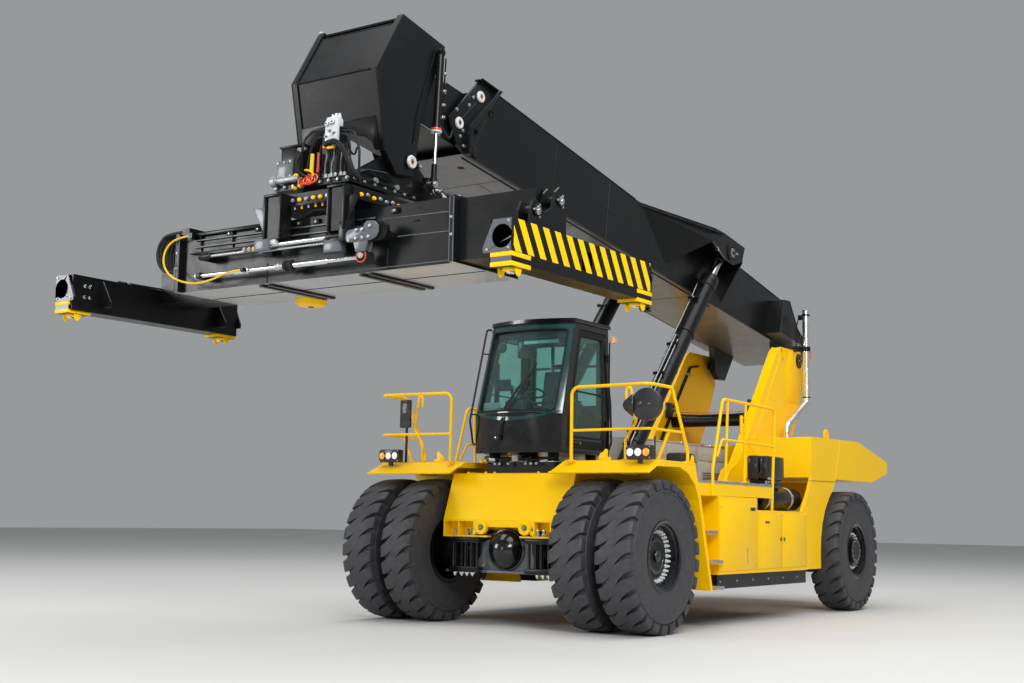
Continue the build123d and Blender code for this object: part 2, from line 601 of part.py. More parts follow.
# ---------------------------------------------------------------- spreader
half_depth = BEAM_DEPTH / 2
sleeve = block((-BEAM_HALF_LENGTH, BEAM_HALF_LENGTH), (SLEW_Y - half_depth, SLEW_Y + half_depth), BEAM_Z)
sleeve -= block((-2000, 2000), (SLEW_Y - half_depth + BEAM_WALL, SLEW_Y + half_depth - BEAM_WALL),
                (BEAM_Z[0] + BEAM_WALL, BEAM_Z[1] - BEAM_WALL))
FLANGE_X = (1850, BEAM_HALF_LENGTH)
FRONT_Y = SLEW_Y - half_depth
flange = block(FLANGE_X, (FRONT_Y - 60, FRONT_Y + 1), BEAM_Z)
sleeve = sleeve.fuse(flange, mirror(flange, Plane.YZ))
# Where the hoses leave and end: (x from, x to, y from, y to, z from, z to)
HOSE_PLACES = (
    (-1900, -1780, -3950, -3650, 4359, 4440),
    (-1990, -1890, -3964, -3650, 3930, 4010),
    (-1680, -1620, -4060, FRONT_Y + 1, 4290, 4350),
)
places = [block(row[0:2], row[2:4], row[4:6]) for row in HOSE_PLACES]
pieces["main_beam"] = sleeve.fuse(*places)

# Rods and cylinders along the front of the beam: (x from, x to, z, radius)
SIDE_RODS = ((-420, 400, 4082, 28), (399, 700, 4082, 48), (-1400, 800, 3845, 22), (-300, 400, 3845, 36))
ROD_Y = -4100
rods = [cross_bar((ROD_Y, z), (start, end), radius) for start, end, z, radius in SIDE_RODS]
# The link block that ties both rods to the beam, and the lower rod's far clamp.
rods.append(block((690, 1150), (-4160, -4040), (3985, 4120)))
rods.append(block((790, 960), (-4150, -4050), (3790, 3990)))
rods.append(block((1000, 1100), (-4041, FRONT_Y), (4000, 4100)))
rods.append(block((-1450, -1390), (-4130, FRONT_Y), (3810, 3880)))
rods.append(block((-760, -700), (-4172, -4090), (3828, 3862)))
pieces["beam_cylinders"] = rods[0].fuse(*rods[1:])
# Two lobed plates stand on the left end beam and carry two hubs: their outline from the beam's top.
LOBE_Y = -3960
LOBES = (
    (-340, 0), (-335, 160), (-290, 245), (-235, 262), (-175, 240),
    (-100, 170), (20, 235), (85, 400), (160, 462),
    (235, 440), (275, 360), (280, 0),
)
LOBE_HUBS = ((-4195, 4056), (-3800, 4222))
arm_z = (BEAM_Z[0] + BEAM_WALL + ARM_PLAY, BEAM_Z[1] - BEAM_WALL - ARM_PLAY)
arm_outer = half_depth - BEAM_WALL - ARM_PLAY
# The left arm runs in the front half of the sleeve and the right arm in the rear half.
for side, hand in SIDES:
    y_near, y_far = sorted((SLEW_Y - side * arm_outer, SLEW_Y - side * ARM_PLAY))
    arm = block((ARM_INNER_X, END_BEAM_X[0] + 1), (y_near, y_far), arm_z)
    hollow_x = (ARM_INNER_X - 10, END_BEAM_X[0] - 20)
    arm -= block(hollow_x, (y_near + 15, y_far - 15), (arm_z[0] + 15, arm_z[1] - 15))
    y_ends = (SLEW_Y - END_BEAM_DEPTH / 2, SLEW_Y + END_BEAM_DEPTH / 2)
    end = block(END_BEAM_X, (y_ends[0] + 20, y_ends[1] - 20), END_BEAM_Z)
    end -= block((END_BEAM_X[0] + 15, END_BEAM_X[1] - 15), (y_ends[0], y_ends[1]),
                 (CORNER_TOP_Z + 10, END_BEAM_Z[1] - 15))
    plate = front_profile(END_PLATE, (0, 22)) - Pos(2930, 0, 3735) * Rot(90, 0, 0) * Cylinder(105, 60)
    end += Pos(0, y_ends[0], 0) * plate + Pos(0, y_ends[1] - 22, 0) * plate
    end += block((2810, END_BEAM_X[1]), (y_ends[0], y_ends[0] + 300), (3468, CORNER_TOP_Z))
    end += block((2810, END_BEAM_X[1]), (y_ends[1] - 300, y_ends[1]), (3468, CORNER_TOP_Z))
    end -= block((3000, 3040), (SLEW_Y - 90, SLEW_Y + 90), (3620, 3800))
    for y in (-TWISTLOCK_PITCH_Y / 2, TWISTLOCK_PITCH_Y / 2):
        end -= Pos(TWISTLOCK_X, SLEW_Y + y, 3500) * Cylinder(30 + RUNNING, 300)
    if hand == "left":
        for x in (2800, 2925):
            end += side_profile([(LOBE_Y + y, END_BEAM_Z[1] - 1 + z) for y, z in LOBES], (x, x + 22))
        for y, z in LOBE_HUBS:
            end += cross_bar((y, z), (2785, 2962), 50)
    pieces["arm_" + hand] = on_side(arm + end, side)
    for name, y in (("front", -TWISTLOCK_PITCH_Y / 2), ("rear", TWISTLOCK_PITCH_Y / 2)):
        lock = Pos(TWISTLOCK_X, SLEW_Y + y, 3520) * Cylinder(30, 190)
        head_z = TWISTLOCK_TIP_Z + LOCK_HEAD_DEPTH / 2
        lock += Pos(TWISTLOCK_X, SLEW_Y + y, head_z) * Box(50, 104, LOCK_HEAD_DEPTH)
        pieces["twistlock_" + name + "_" + hand] = on_side(lock, side)

# ---------------------------------------------------------------- hoses on the spreader
def hose(points, radius):
    """A round hose along the points, each corner rounded as far as its shorter run allows."""
    runs = [(Vector(*end) - Vector(*start)) for start, end in zip(points, points[1:])]
    bends = []
    for before, after in zip(runs, runs[1:]):
        half_turn = math.radians(before.get_angle(after)) / 2
        bends.append(0.45 * min(before.length, after.length) / math.tan(half_turn))
    print("bend radii", [round(bend) for bend in bends], "runs", [round(run.length) for run in runs])
    route = FilletPolyline(*points, radius=bends)
    print("length", round(route.length))
    return sweep(Plane(origin=route @ 0, z_dir=route % 0) * Circle(radius), path=route)


HOSE_RADIUS = 19
HOSE_LOOP = (
    (-1900, 4402), (-2128, 4402), (-2228, 4344), (-2286, 4244), (-2286, 4128), (-2228, 4028), (-2128, 3970),
    (-1990, 3970),
)
for place, y in (("front", -3890), ("rear", -3790)):
    pieces["hose_loop_" + place] = hose([(x, y, z) for x, z in HOSE_LOOP], HOSE_RADIUS)
YELLOW_HOSE_RADIUS = 11
YELLOW_HOSE = (
    (-760, -4155, 3845), (-940, -4155, 3845), (-1180, -4155, 3775), (-1430, -4155, 3750),
    (-1680, -4150, 3800), (-1880, -4135, 3890), (-2010, -4110, 4040), (-2000, -4085, 4210),
    (-1880, -4040, 4320), (-1680, -4040, 4320),
)
pieces["yellow_hose"] = hose(YELLOW_HOSE, YELLOW_HOSE_RADIUS)

# ---------------------------------------------------------------- rails, lamps and lifting eyes
RAIL_BEND = 100
# Each rail: radius, then the points along it.
RAILS = (
    (20, (900, -200, 1977), (900, -200, 2890), (2000, -270, 2890), (2000, 290, 2890),
     (2000, 700, 2150), (2000, 700, 2011)),
    (16, (902, -200, 2370), (2000, -268, 2370), (2000, 570, 2370)),
    (20, (2003, 1385, 1640), (2003, 1385, 1960), (2003, 1684, 2864), (1955, 3460, 2864), (1900, 3460, 1475)),
    (16, (1998, 1530, 2130), (1992, 1684, 2350), (1942, 3456, 2350)),
    (18, (1958, 1850, 1821), (1996, 1850, 2860)),
    (18, (1958, 2430, 1821), (1982, 2430, 2860)),
    (18, (1840, 230, 2018), (1994, 230, 2370)),
)
rails = [block((1981, 2003), (1370, 1400), (1680, 1780))]
for radius, *points in RAILS:
    rails.append(tube(points, radius, RAIL_BEND) if len(points) > 2 else bar(*points, radius))
pieces["handrails"] = mirrored(rails[0].fuse(*rails[1:]))

LAMP_BOX = (1690, 2010)
LAMP_Z = (2020, 2170)
lamps = block(LAMP_BOX, (-265, -175), LAMP_Z) + block((1825, 1875), (-240, -200), (1969, 2021))
for x in (1745, 1850, 1955):
    lamps += Pos(x, -270, 2095) * Rot(90, 0, 0) * Cylinder(42, 22)
mirrors = Pos(2000, -320, 2640) * Rot(90, 0, 0) * Cylinder(190, 50)
mirrors += block((1970, 2030), (-296, -291), (2600, 2700))
pole = bar((-1750, -30, 2011), (-1750, -30, 2750), 18)
mirrors += pole + block((-1830, -1670), (-70, -45), (2480, 2830))
pieces["lamps_and_mirrors"] = mirrored(lamps) + mirrors

EYE_PLACE = (1400, 6820)
EYE_HOLE_Z = 2725
eye = block((EYE_PLACE[0] - 15, EYE_PLACE[0] + 15), (6740, 6900), (2601, EYE_HOLE_Z))
eye += Pos(EYE_PLACE[0], EYE_PLACE[1], EYE_HOLE_Z) * Rot(0, 90, 0) * Cylinder(80, 30)
eye -= Pos(EYE_PLACE[0], EYE_PLACE[1], EYE_HOLE_Z) * Rot(0, 90, 0) * Cylinder(35, 40)
pieces["lifting_eyes"] = mirrored(eye)

# ---------------------------------------------------------------- writing
os.makedirs("parts", exist_ok=True)
for name, shape in pieces.items():
    export_step(Pos(0, -ORIGIN_Y, 0) * shape, "parts/" + name + ".step")
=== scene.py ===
import json
import math

import bmesh
import bpy
from mathutils import Matrix, Vector


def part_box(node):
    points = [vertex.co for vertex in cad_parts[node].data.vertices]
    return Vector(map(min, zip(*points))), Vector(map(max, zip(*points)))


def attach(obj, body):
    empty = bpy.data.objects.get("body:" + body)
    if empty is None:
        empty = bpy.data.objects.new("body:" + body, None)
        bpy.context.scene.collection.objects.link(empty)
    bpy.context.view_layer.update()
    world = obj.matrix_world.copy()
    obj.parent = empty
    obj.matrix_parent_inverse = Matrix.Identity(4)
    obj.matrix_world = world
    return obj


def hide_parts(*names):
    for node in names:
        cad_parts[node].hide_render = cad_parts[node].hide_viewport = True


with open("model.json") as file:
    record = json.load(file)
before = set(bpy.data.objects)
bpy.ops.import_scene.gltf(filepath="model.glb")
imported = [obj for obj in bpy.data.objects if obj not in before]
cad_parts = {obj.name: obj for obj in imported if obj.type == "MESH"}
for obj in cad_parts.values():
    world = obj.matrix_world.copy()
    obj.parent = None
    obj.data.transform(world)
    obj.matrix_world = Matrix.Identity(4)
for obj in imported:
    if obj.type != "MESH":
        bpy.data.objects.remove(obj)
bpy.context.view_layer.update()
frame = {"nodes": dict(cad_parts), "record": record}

# ------------------------------------------------------------------ colours and shader nodes
def colour(code):
    """A linear colour from an sRGB hex code."""
    parts = [int(code[i:i + 2], 16) / 255 for i in (1, 3, 5)]
    return (*[c / 12.92 if c <= 0.04045 else ((c + 0.055) / 1.055) ** 2.4 for c in parts], 1.0)


def add(tree, kind, links=None, values=None, **settings):
    """One shader node with its settings, its socket values and the sockets that feed it."""
    node = tree.nodes.new(kind)
    for name, value in settings.items():
        setattr(node, name, value)
    for socket, value in (values or {}).items():
        node.inputs[socket].default_value = value
    for socket, source in (links or {}).items():
        tree.links.new(source, node.inputs[socket])
    return node


def new_material(name, base, roughness, metallic=0.0, **extra):
    """A surface with its plain constants set; returns the material, its tree and its shader."""
    material = bpy.data.materials.new(name)
    material.use_nodes = True
    shader = material.node_tree.nodes["Principled BSDF"]
    shader.inputs["Base Color"].default_value = colour(base)
    shader.inputs["Roughness"].default_value = roughness
    shader.inputs["Metallic"].default_value = metallic
    for socket, value in extra.items():
        shader.inputs[socket.replace("_", " ")].default_value = value
    return material, material.node_tree, shader


MM = 0.001


def place_coords(tree):
    """The coordinates of the piece itself, in metres, which stay with it as it moves."""
    return add(tree, "ShaderNodeTexCoord").outputs["Object"]


def enamel(name, base, faded, dust, roughness, peel=2.5, coat=0.35, sheen=0.5):
    """Sprayed machine enamel on steel: a soft orange-peel in the gloss, faint fading over each panel,
    and a little pale dust on the faces that look up."""
    material, tree, shader = new_material(name, base, roughness, Coat_Weight=coat, Coat_Roughness=0.08,
        Specular_IOR_Level=sheen)
    coords = place_coords(tree)
    fading = add(tree, "ShaderNodeTexNoise", {"Vector": coords}, {"Scale": 0.9, "Detail": 3.0, "Roughness": 0.5})
    soft = add(tree, "ShaderNodeMapRange", {"Value": fading.outputs["Fac"]}, {"From Min": 0.4, "From Max": 0.7})
    panel = add(tree, "ShaderNodeMix", {"Factor": soft.outputs["Result"]}, data_type="RGBA")
    panel.inputs["A"].default_value = colour(base)
    panel.inputs["B"].default_value = colour(faded)
    normal = add(tree, "ShaderNodeNewGeometry").outputs["Normal"]
    facing = add(tree, "ShaderNodeSeparateXYZ", {"Vector": normal}).outputs["Z"]
    grime = add(tree, "ShaderNodeTexNoise", {"Vector": coords}, {"Scale": 6.0, "Detail": 6.0, "Roughness": 0.65})
    up = add(tree, "ShaderNodeMapRange", {"Value": facing}, {"From Min": 0.3, "From Max": 1.0, "To Max": 0.3})
    lying = add(tree, "ShaderNodeMath", {0: up.outputs["Result"], 1: grime.outputs["Fac"]}, operation="MULTIPLY")
    dusty = add(tree, "ShaderNodeMix", {"Factor": lying.outputs[0], "A": panel.outputs["Result"]}, data_type="RGBA")
    dusty.inputs["B"].default_value = colour(dust)
    tree.links.new(dusty.outputs["Result"], shader.inputs["Base Color"])
    # Orange-peel is about 2 mm across on the real paint.
    skin = add(tree, "ShaderNodeTexNoise", {"Vector": coords}, {"Scale": 1 / (peel * 4 * MM), "Detail": 2.0})
    bump = add(tree, "ShaderNodeBump", {"Height": skin.outputs["Fac"]}, {"Strength": 0.06, "Distance": 0.001})
    tree.links.new(bump.outputs["Normal"], shader.inputs["Normal"])
    gloss = add(tree, "ShaderNodeMapRange", {"Value": grime.outputs["Fac"]}, {"From Min": 0.3, "From Max": 0.8,
        "To Min": roughness - 0.06, "To Max": roughness + 0.14})
    tree.links.new(gloss.outputs["Result"], shader.inputs["Roughness"])
    return material


def metal(name, base, roughness, grain_mm=0.0):
    """Bare or plated steel; with a grain it shows the fine turned or rolled streaks of worked metal."""
    material, tree, shader = new_material(name, base, roughness, 1.0)
    coords = place_coords(tree)
    smear = add(tree, "ShaderNodeTexNoise", {"Vector": coords}, {"Scale": 9.0, "Detail": 5.0})
    spread = add(tree, "ShaderNodeMapRange", {"Value": smear.outputs["Fac"]}, {"From Min": 0.3, "From Max": 0.75,
        "To Min": roughness * 0.7, "To Max": roughness * 1.7})
    tree.links.new(spread.outputs["Result"], shader.inputs["Roughness"])
    if grain_mm:
        grain = add(tree, "ShaderNodeTexNoise", {"Vector": coords}, {"Scale": 1 / (grain_mm * MM), "Detail": 3.0})
        bump = add(tree, "ShaderNodeBump", {"Height": grain.outputs["Fac"]}, {"Strength": 0.12, "Distance": 0.0004})
        tree.links.new(bump.outputs["Normal"], shader.inputs["Normal"])
    return material


def rubber(name, base, dust, roughness=0.72, grain_mm=6.0):
    """Moulded rubber: matt, slightly mottled, with dry pale dust in it."""
    material, tree, shader = new_material(name, base, roughness, Specular_IOR_Level=0.35)
    coords = place_coords(tree)
    mottle = add(tree, "ShaderNodeTexNoise", {"Vector": coords}, {"Scale": 14.0, "Detail": 8.0, "Roughness": 0.7})
    amount = add(tree, "ShaderNodeMapRange", {"Value": mottle.outputs["Fac"]}, {"From Min": 0.42, "From Max": 0.8})
    mixed = add(tree, "ShaderNodeMix", {"Factor": amount.outputs["Result"]}, data_type="RGBA")
    mixed.inputs["A"].default_value = colour(base)
    mixed.inputs["B"].default_value = colour(dust)
    tree.links.new(mixed.outputs["Result"], shader.inputs["Base Color"])
    grain = add(tree, "ShaderNodeTexNoise", {"Vector": coords}, {"Scale": 1 / (grain_mm * MM), "Detail": 4.0})
    bump = add(tree, "ShaderNodeBump", {"Height": grain.outputs["Fac"]}, {"Strength": 0.25, "Distance": 0.001})
    tree.links.new(bump.outputs["Normal"], shader.inputs["Normal"])
    return material


def tinted_glass(name, base):
    """Green-tinted toughened glass: clear but strongly coloured, with a hard clean gloss."""
    material, tree, shader = new_material(name, base, 0.02, Transmission_Weight=0.98, IOR=1.45)
    coords = place_coords(tree)
    wave = add(tree, "ShaderNodeTexNoise", {"Vector": coords}, {"Scale": 2.0, "Detail": 1.0})
    bump = add(tree, "ShaderNodeBump", {"Height": wave.outputs["Fac"]}, {"Strength": 0.03, "Distance": 0.002})
    tree.links.new(bump.outputs["Normal"], shader.inputs["Normal"])
    return material


def lens(name, base, glow):
    """Moulded lamp lens over a bright reflector, ribbed every 8 mm."""
    material, tree, shader = new_material(name, base, 0.12, Coat_Weight=0.8, Emission_Strength=glow)
    shader.inputs["Emission Color"].default_value = colour(base)
    coords = place_coords(tree)
    ribs = add(tree, "ShaderNodeTexWave", {"Vector": coords}, {"Scale": 1 / (8 * MM) / 6.28, "Distortion": 0.0})
    bump = add(tree, "ShaderNodeBump", {"Height": ribs.outputs["Fac"]}, {"Strength": 0.4, "Distance": 0.001})
    tree.links.new(bump.outputs["Normal"], shader.inputs["Normal"])
    return material


def seat_weave(name, base, thread):
    """Woven seat cloth in a plain weave; the threads are drawn at 4 mm, coarser than real, so that they show."""
    material, tree, shader = new_material(name, base, 0.9, Sheen_Weight=0.4)
    coords = place_coords(tree)
    across = add(tree, "ShaderNodeTexWave", {"Vector": coords}, {"Scale": 1 / (4 * MM) / 6.28}, bands_direction="X")
    along = add(tree, "ShaderNodeTexWave", {"Vector": coords}, {"Scale": 1 / (4 * MM) / 6.28}, bands_direction="Z")
    weave = add(tree, "ShaderNodeMath", {0: across.outputs["Fac"], 1: along.outputs["Fac"]}, operation="MULTIPLY")
    mixed = add(tree, "ShaderNodeMix", {"Factor": weave.outputs[0]}, data_type="RGBA")
    mixed.inputs["A"].default_value = colour(base)
    mixed.inputs["B"].default_value = colour(thread)
    tree.links.new(mixed.outputs["Result"], shader.inputs["Base Color"])
    bump = add(tree, "ShaderNodeBump", {"Height": weave.outputs[0]}, {"Strength": 0.5, "Distance": 0.001})
    tree.links.new(bump.outputs["Normal"], shader.inputs["Normal"])
    return material


YELLOW = enamel("machine_yellow_enamel", "#FFCE00", "#FFC600", "#F4C71A", 0.36, 2.5, 0.05, 0.18)
BLACK = enamel("satin_black_enamel", "#0B0C0D", "#101113", "#242527", 0.32, 2.5, 0.06, 0.26)
GREY = enamel("light_grey_enamel", "#A9ABAC", "#9C9E9F", "#B9B7B0", 0.42)
PLATE_GREY = enamel("slate_grey_enamel", "#5C5F66", "#54575D", "#77777A", 0.4)
RIM_BLACK = enamel("rim_black_enamel", "#0E0F11", "#15161A", "#303032", 0.26)
AXLE_BLACK = enamel("gloss_black_enamel", "#0A0B0D", "#0E0F12", "#232426", 0.16)
TYRE = rubber("tyre_rubber", "#3A3A3D", "#4C4C4F", 0.56)
# Near-black used for painted shade in the tyre cuts, the holes and the gaps between channels, and for dark joints and
# parts.
SHADE_AND_DARK_PARTS = rubber("shade_and_dark_parts", "#121213", "#1C1C1E")
HOSE = rubber("hose_rubber", "#141415", "#26262A", 0.55, 3.0)
YELLOW_HOSE = rubber("yellow_hose_cover", "#E8BE00", "#D9A800", 0.45, 3.0)
CHROME = metal("hard_chrome", "#D8DADC", 0.1)
STEEL = metal("machined_steel", "#A6A8AA", 0.32, 1.2)
ZINC = metal("galvanised_steel", "#B9BBBC", 0.45, 4.0)
GLASS = tinted_glass("green_tinted_glass", "#C4F4EC")
BONDED_GLASS = enamel("bonded_glass_edge", "#123B39", "#154240", "#1C4644", 0.08, 0.4, 0.5)
WHITE_LENS = lens("clear_lamp_lens", "#F4F4EE", 0.25)
AMBER_LENS = lens("amber_lamp_lens", "#FF9A1E", 0.35)
RED_LENS = lens("red_lamp_lens", "#D01812", 0.2)
RUBBER_SEAL = rubber("window_rubber", "#0D0D0E", "#1A1A1B", 0.5, 3.0)
ORANGE = enamel("orange_guard_enamel", "#E2571C", "#D24D18", "#D98A5E", 0.34)
# Light silver-grey paint for the valve block and other parts; on the wheel nuts it stands for a painted reflection.
SILVER = enamel("silver_enamel_and_nut_glint", "#D6D8DA", "#C8CACC", "#DAD8D2", 0.4)
POLISHED = metal("polished_stainless_steel", "#F1F1EF", 0.24)
BRASS = metal("greased_brass", "#D09450", 0.4, 1.2)
RED = enamel("red_valve_enamel", "#B3261E", "#A5221B", "#B86A5E", 0.36)
SEAT_CLOTH = seat_weave("woven_seat_cloth", "#1D1E22", "#3A3B40")
PLASTIC = enamel("moulded_black_plastic", "#18191B", "#202124", "#3B3B3C", 0.55, 1.5)
# Dark yellow painted shade for the gaps along the panel seams.
GAP_SHADOW = enamel("panel_gap_shadow", "#5A4600", "#4C3B00", "#6E5A12", 0.6)

SLOT_MATERIAL = {"yellow_paint": YELLOW, "black_paint": BLACK, "grey_paint": GREY, "chrome_plate": CHROME,
    "bare_steel": STEEL, "tyre_rubber": TYRE, "cab_glazing": GLASS, "seat_cloth": SEAT_CLOTH,
    "black_plastic": PLASTIC, "hose_rubber": HOSE, "yellow_hose_rubber": YELLOW_HOSE}
slots = {row["node"]: row["material_slot"] for row in frame["record"]["subparts"]}
for node_name, node_object in frame["nodes"].items():
    node_object.data.materials.clear()
    node_object.data.materials.append(SLOT_MATERIAL[slots[node_name]])
frame["nodes"]["exhaust_pipe"].data.materials[0] = POLISHED

# ------------------------------------------------------------------ floor, light and camera
FLOOR_SIZE = 160.0
bpy.ops.mesh.primitive_plane_add(size=FLOOR_SIZE)
floor = bpy.context.object
floor.name = "studio_floor"
floor_paint, _, _ = new_material("pale_floor", "#C6C6C4", 0.75)
floor.data.materials.append(floor_paint)

world = bpy.data.worlds.new("studio")
bpy.context.scene.world = world
world.use_nodes = True
bpy.context.scene.view_settings.view_transform = "Standard"
world.node_tree.nodes["Background"].inputs["Color"].default_value = colour("#E4E7EA")
world.node_tree.nodes["Background"].inputs["Strength"].default_value = 0.4


def soft_light(name, place, aim, size, watts):
    """A square studio softbox."""
    data = bpy.data.lights.new(name, "AREA")
    data.shape = "SQUARE"
    data.size = size
    data.energy = watts
    lamp = bpy.data.objects.new(name, data)
    lamp.location = place
    lamp.rotation_euler = (Vector(aim) - Vector(place)).to_track_quat("-Z", "Y").to_euler()
    bpy.context.scene.collection.objects.link(lamp)


soft_light("key_softbox", (15, -17, 13), (0, -1, 2), 8, 3400)
soft_light("fill_softbox", (-17, -19, 8.5), (0, -1, 3), 7, 1700)
soft_light("strip_softbox", (-1, -27, 5), (0, -1, 3), 3.5, 260)
soft_light("top_softbox", (2, 0, 24), (0, 0, 2), 30, 6800)

CAMERA_PLACE = (9.5455, -16.124, 1.3147)
CAMERA_YAW, CAMERA_PITCH, CAMERA_ROLL = (math.radians(a) for a in (33.954, 7.304, 0.927))
ahead = Vector((-math.sin(CAMERA_YAW) * math.cos(CAMERA_PITCH), math.cos(CAMERA_YAW) * math.cos(CAMERA_PITCH),
    math.sin(CAMERA_PITCH)))
level = Vector((math.cos(CAMERA_YAW), math.sin(CAMERA_YAW), 0))
upward = level.cross(ahead)
right = level * math.cos(CAMERA_ROLL) + upward * math.sin(CAMERA_ROLL)
top = upward * math.cos(CAMERA_ROLL) - level * math.sin(CAMERA_ROLL)
camera_data = bpy.data.cameras.new("camera")
camera_data.lens = 48.4
camera_data.sensor_width = 36.0
camera_data.clip_end = 400
camera = bpy.data.objects.new("camera", camera_data)
camera.matrix_world = Matrix.Translation(CAMERA_PLACE) @ Matrix((right, top, -ahead)).transposed().to_4x4()
bpy.context.scene.collection.objects.link(camera)
bpy.context.scene.camera = camera

# ------------------------------------------------------------------ places and shapes
AXLE_Y = sum(corner.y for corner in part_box("front_rims_left")) / 2
SIDES = ((-1, "right"), (1, "left"))
TAU = 2 * math.pi
X, Y, Z = Vector((1, 0, 0)), Vector((0, 1, 0)), Vector((0, 0, 1))
# Corners 0 to 3 are the lower ones, 4 to 7 the upper ones above them.
BOX_FACES = ((3, 2, 1, 0), (4, 5, 6, 7), (0, 1, 5, 4), (1, 2, 6, 5), (2, 3, 7, 6), (3, 0, 4, 7))


def at(x, y, z):
    """A place given in metres across the machine, behind the drive axle and above the ground."""
    return Vector((x, y + AXLE_Y, z))


def flank(side, inner, outer):
    """The span in x between two distances from the middle, on one side."""
    return sorted((side * inner, side * outer))


def clear_of(direction):
    """A unit vector square to the direction."""
    return direction.cross(Z if abs(direction.z) < 0.9 else X).normalized()


def rounded(points, bend, steps=5):
    """The points of a line whose corners are rounded to the bend radius, or less on short runs."""
    route = [Vector(p) for p in points]
    line = [route[0]]
    for before, corner, after in zip(route, route[1:], route[2:]):
        back, on = (before - corner), (after - corner)
        half = back.angle(on) / 2
        if half > 1.55:
            line.append(corner)
            continue
        reach = min(bend / math.tan(half), back.length * 0.49, on.length * 0.49)
        radius = reach * math.tan(half)
        middle = corner + (back.normalized() + on.normalized()).normalized() * radius / math.sin(half)
        start, end = corner + back.normalized() * reach, corner + on.normalized() * reach
        for step in range(steps + 1):
            spoke = (start - middle).normalized().slerp((end - middle).normalized(), step / steps)
            line.append(middle + spoke * radius)
    line.append(route[-1])
    return line


class Pile:
    """One joined piece. Shapes are added one after another, each in a finish of its own."""

    def __init__(self, name):
        self.name = name
        self.points = []
        self.faces = []
        self.finish_of = []
        self.finishes = []

    def take(self, finish, points, faces):
        """Adds points and the faces between them."""
        if finish not in self.finishes:
            self.finishes.append(finish)
        base = len(self.points)
        self.points.extend(points)
        self.faces.extend([[base + n for n in face] for face in faces])
        self.finish_of.extend([self.finishes.index(finish)] * len(faces))

    def edged(self, finish, points, faces, edge, segments=2):
        """A closed flat-faced shape with all its edges rounded."""
        shape = bmesh.new()
        corners = [shape.verts.new(p) for p in points]
        for face in faces:
            shape.faces.new([corners[n] for n in face])
        bmesh.ops.recalc_face_normals(shape, faces=shape.faces)
        if edge:
            sharp = [e for e in shape.edges if len(e.link_faces) == 2 and e.calc_face_angle() > 0.4]
            bmesh.ops.bevel(shape, geom=sharp, offset=edge, segments=segments, profile=0.5, affect="EDGES",
                clamp_overlap=True)
        shape.verts.index_update()
        self.take(finish, [v.co.copy() for v in shape.verts], [[v.index for v in f.verts] for f in shape.faces])
        shape.free()

    def box(self, finish, x, y, z, edge=0.004, turn=None):
        """A box between two values each way; a turn is (matrix, place that it turns about)."""
        corners = [at(a, b, c) for c in z for a, b in ((x[0], y[0]), (x[1], y[0]), (x[1], y[1]), (x[0], y[1]))]
        if turn:
            corners = [turn[1] + turn[0] @ (corner - turn[1]) for corner in corners]
        self.edged(finish, corners, BOX_FACES, edge)

    def prism(self, finish, outline, place, across, up, depth, edge=0.003):
        """A plate with the flat outline, standing at the place and as thick as the depth."""
        out = across.cross(up).normalized() * depth
        flat = [place + across * a + up * b for a, b in outline]
        count = len(flat)
        sides = [(n, (n + 1) % count, count + (n + 1) % count, count + n) for n in range(count)]
        ends = [tuple(reversed(range(count))), tuple(range(count, 2 * count))]
        self.edged(finish, flat + [p + out for p in flat], sides + ends, edge)

    def turned(self, finish, profile, place, toward, steps=32, turn=0.0):
        """A round shape from (radius, distance along) rows, turned about the line from the place."""
        toward = toward.normalized()
        a = clear_of(toward)
        b = toward.cross(a)
        points, rings = [], []
        for radius, along in profile:
            rings.append((len(points), radius > 1e-6))
            for n in range(steps if radius > 1e-6 else 1):
                angle = TAU * n / steps + turn
                points.append(place + toward * along + (a * math.cos(angle) + b * math.sin(angle)) * radius)
        faces = []
        for (low, low_round), (high, high_round) in zip(rings, rings[1:]):
            for n in range(steps):
                m = (n + 1) % steps
                if low_round and high_round:
                    faces.append((low + n, low + m, high + m, high + n))
                elif low_round:
                    faces.append((low + n, low + m, high))
                elif high_round:
                    faces.append((low, high + m, high + n))
        self.take(finish, points, faces)

    def rod(self, finish, start, end, radius, steps=20, edge=0.003):
        """A round bar with eased ends."""
        length = (end - start).length
        rows = ((0, 0), (radius - edge, 0), (radius, edge), (radius, length - edge), (radius - edge, length),
            (0, length))
        self.turned(finish, rows, start, end - start, steps)

    def pipe(self, finish, points, radius, bend=0.05, steps=10, closed=False):
        """A pipe, hose or bead along the points, its corners rounded."""
        line = list(points) if closed else rounded(points, bend)
        line = [p for n, p in enumerate(line) if n == 0 or (p - line[n - 1]).length > 1e-5]
        count = len(line)
        side = None
        rings = []
        for n, point in enumerate(line):
            ahead = line[(n + 1) % count] if closed or n < count - 1 else point
            behind = line[n - 1] if closed or n else point
            along = (ahead - behind).normalized()
            side = clear_of(along) if side is None else (side - along * side.dot(along)).normalized()
            other = along.cross(side)
            rings.extend(point + (side * math.cos(TAU * k / steps) + other * math.sin(TAU * k / steps)) * radius
                for k in range(steps))
        faces = []
        for n in range(count if closed else count - 1):
            near, far = n * steps, (n + 1) % count * steps
            faces.extend((near + k, near + (k + 1) % steps, far + (k + 1) % steps, far + k) for k in range(steps))
        if not closed:
            faces.append(tuple(reversed(range(steps))))
            faces.append(tuple(range((count - 1) * steps, count * steps)))
        self.take(finish, rings, faces)

    def bolt(self, place, out, size=0.012, finish=None):
        """A hexagon head on its washer; size is the thread's radius."""
        metal_used = finish or ZINC
        self.turned(metal_used, ((0, -0.002), (size * 1.9, -0.002), (size * 1.9, size * 0.25),
            (size * 1.6, size * 0.3)), place, out, 16)
        rows = ((size * 1.7, size * 0.25), (size * 1.7, size * 1.3), (size * 1.35, size * 1.55), (0, size * 1.6))
        self.turned(metal_used, rows, place, out, 6)

    def bolts(self, places, out, size=0.012, finish=None):
        """The same bolt at each place."""
        for place in places:
            self.bolt(place, out, size, finish)

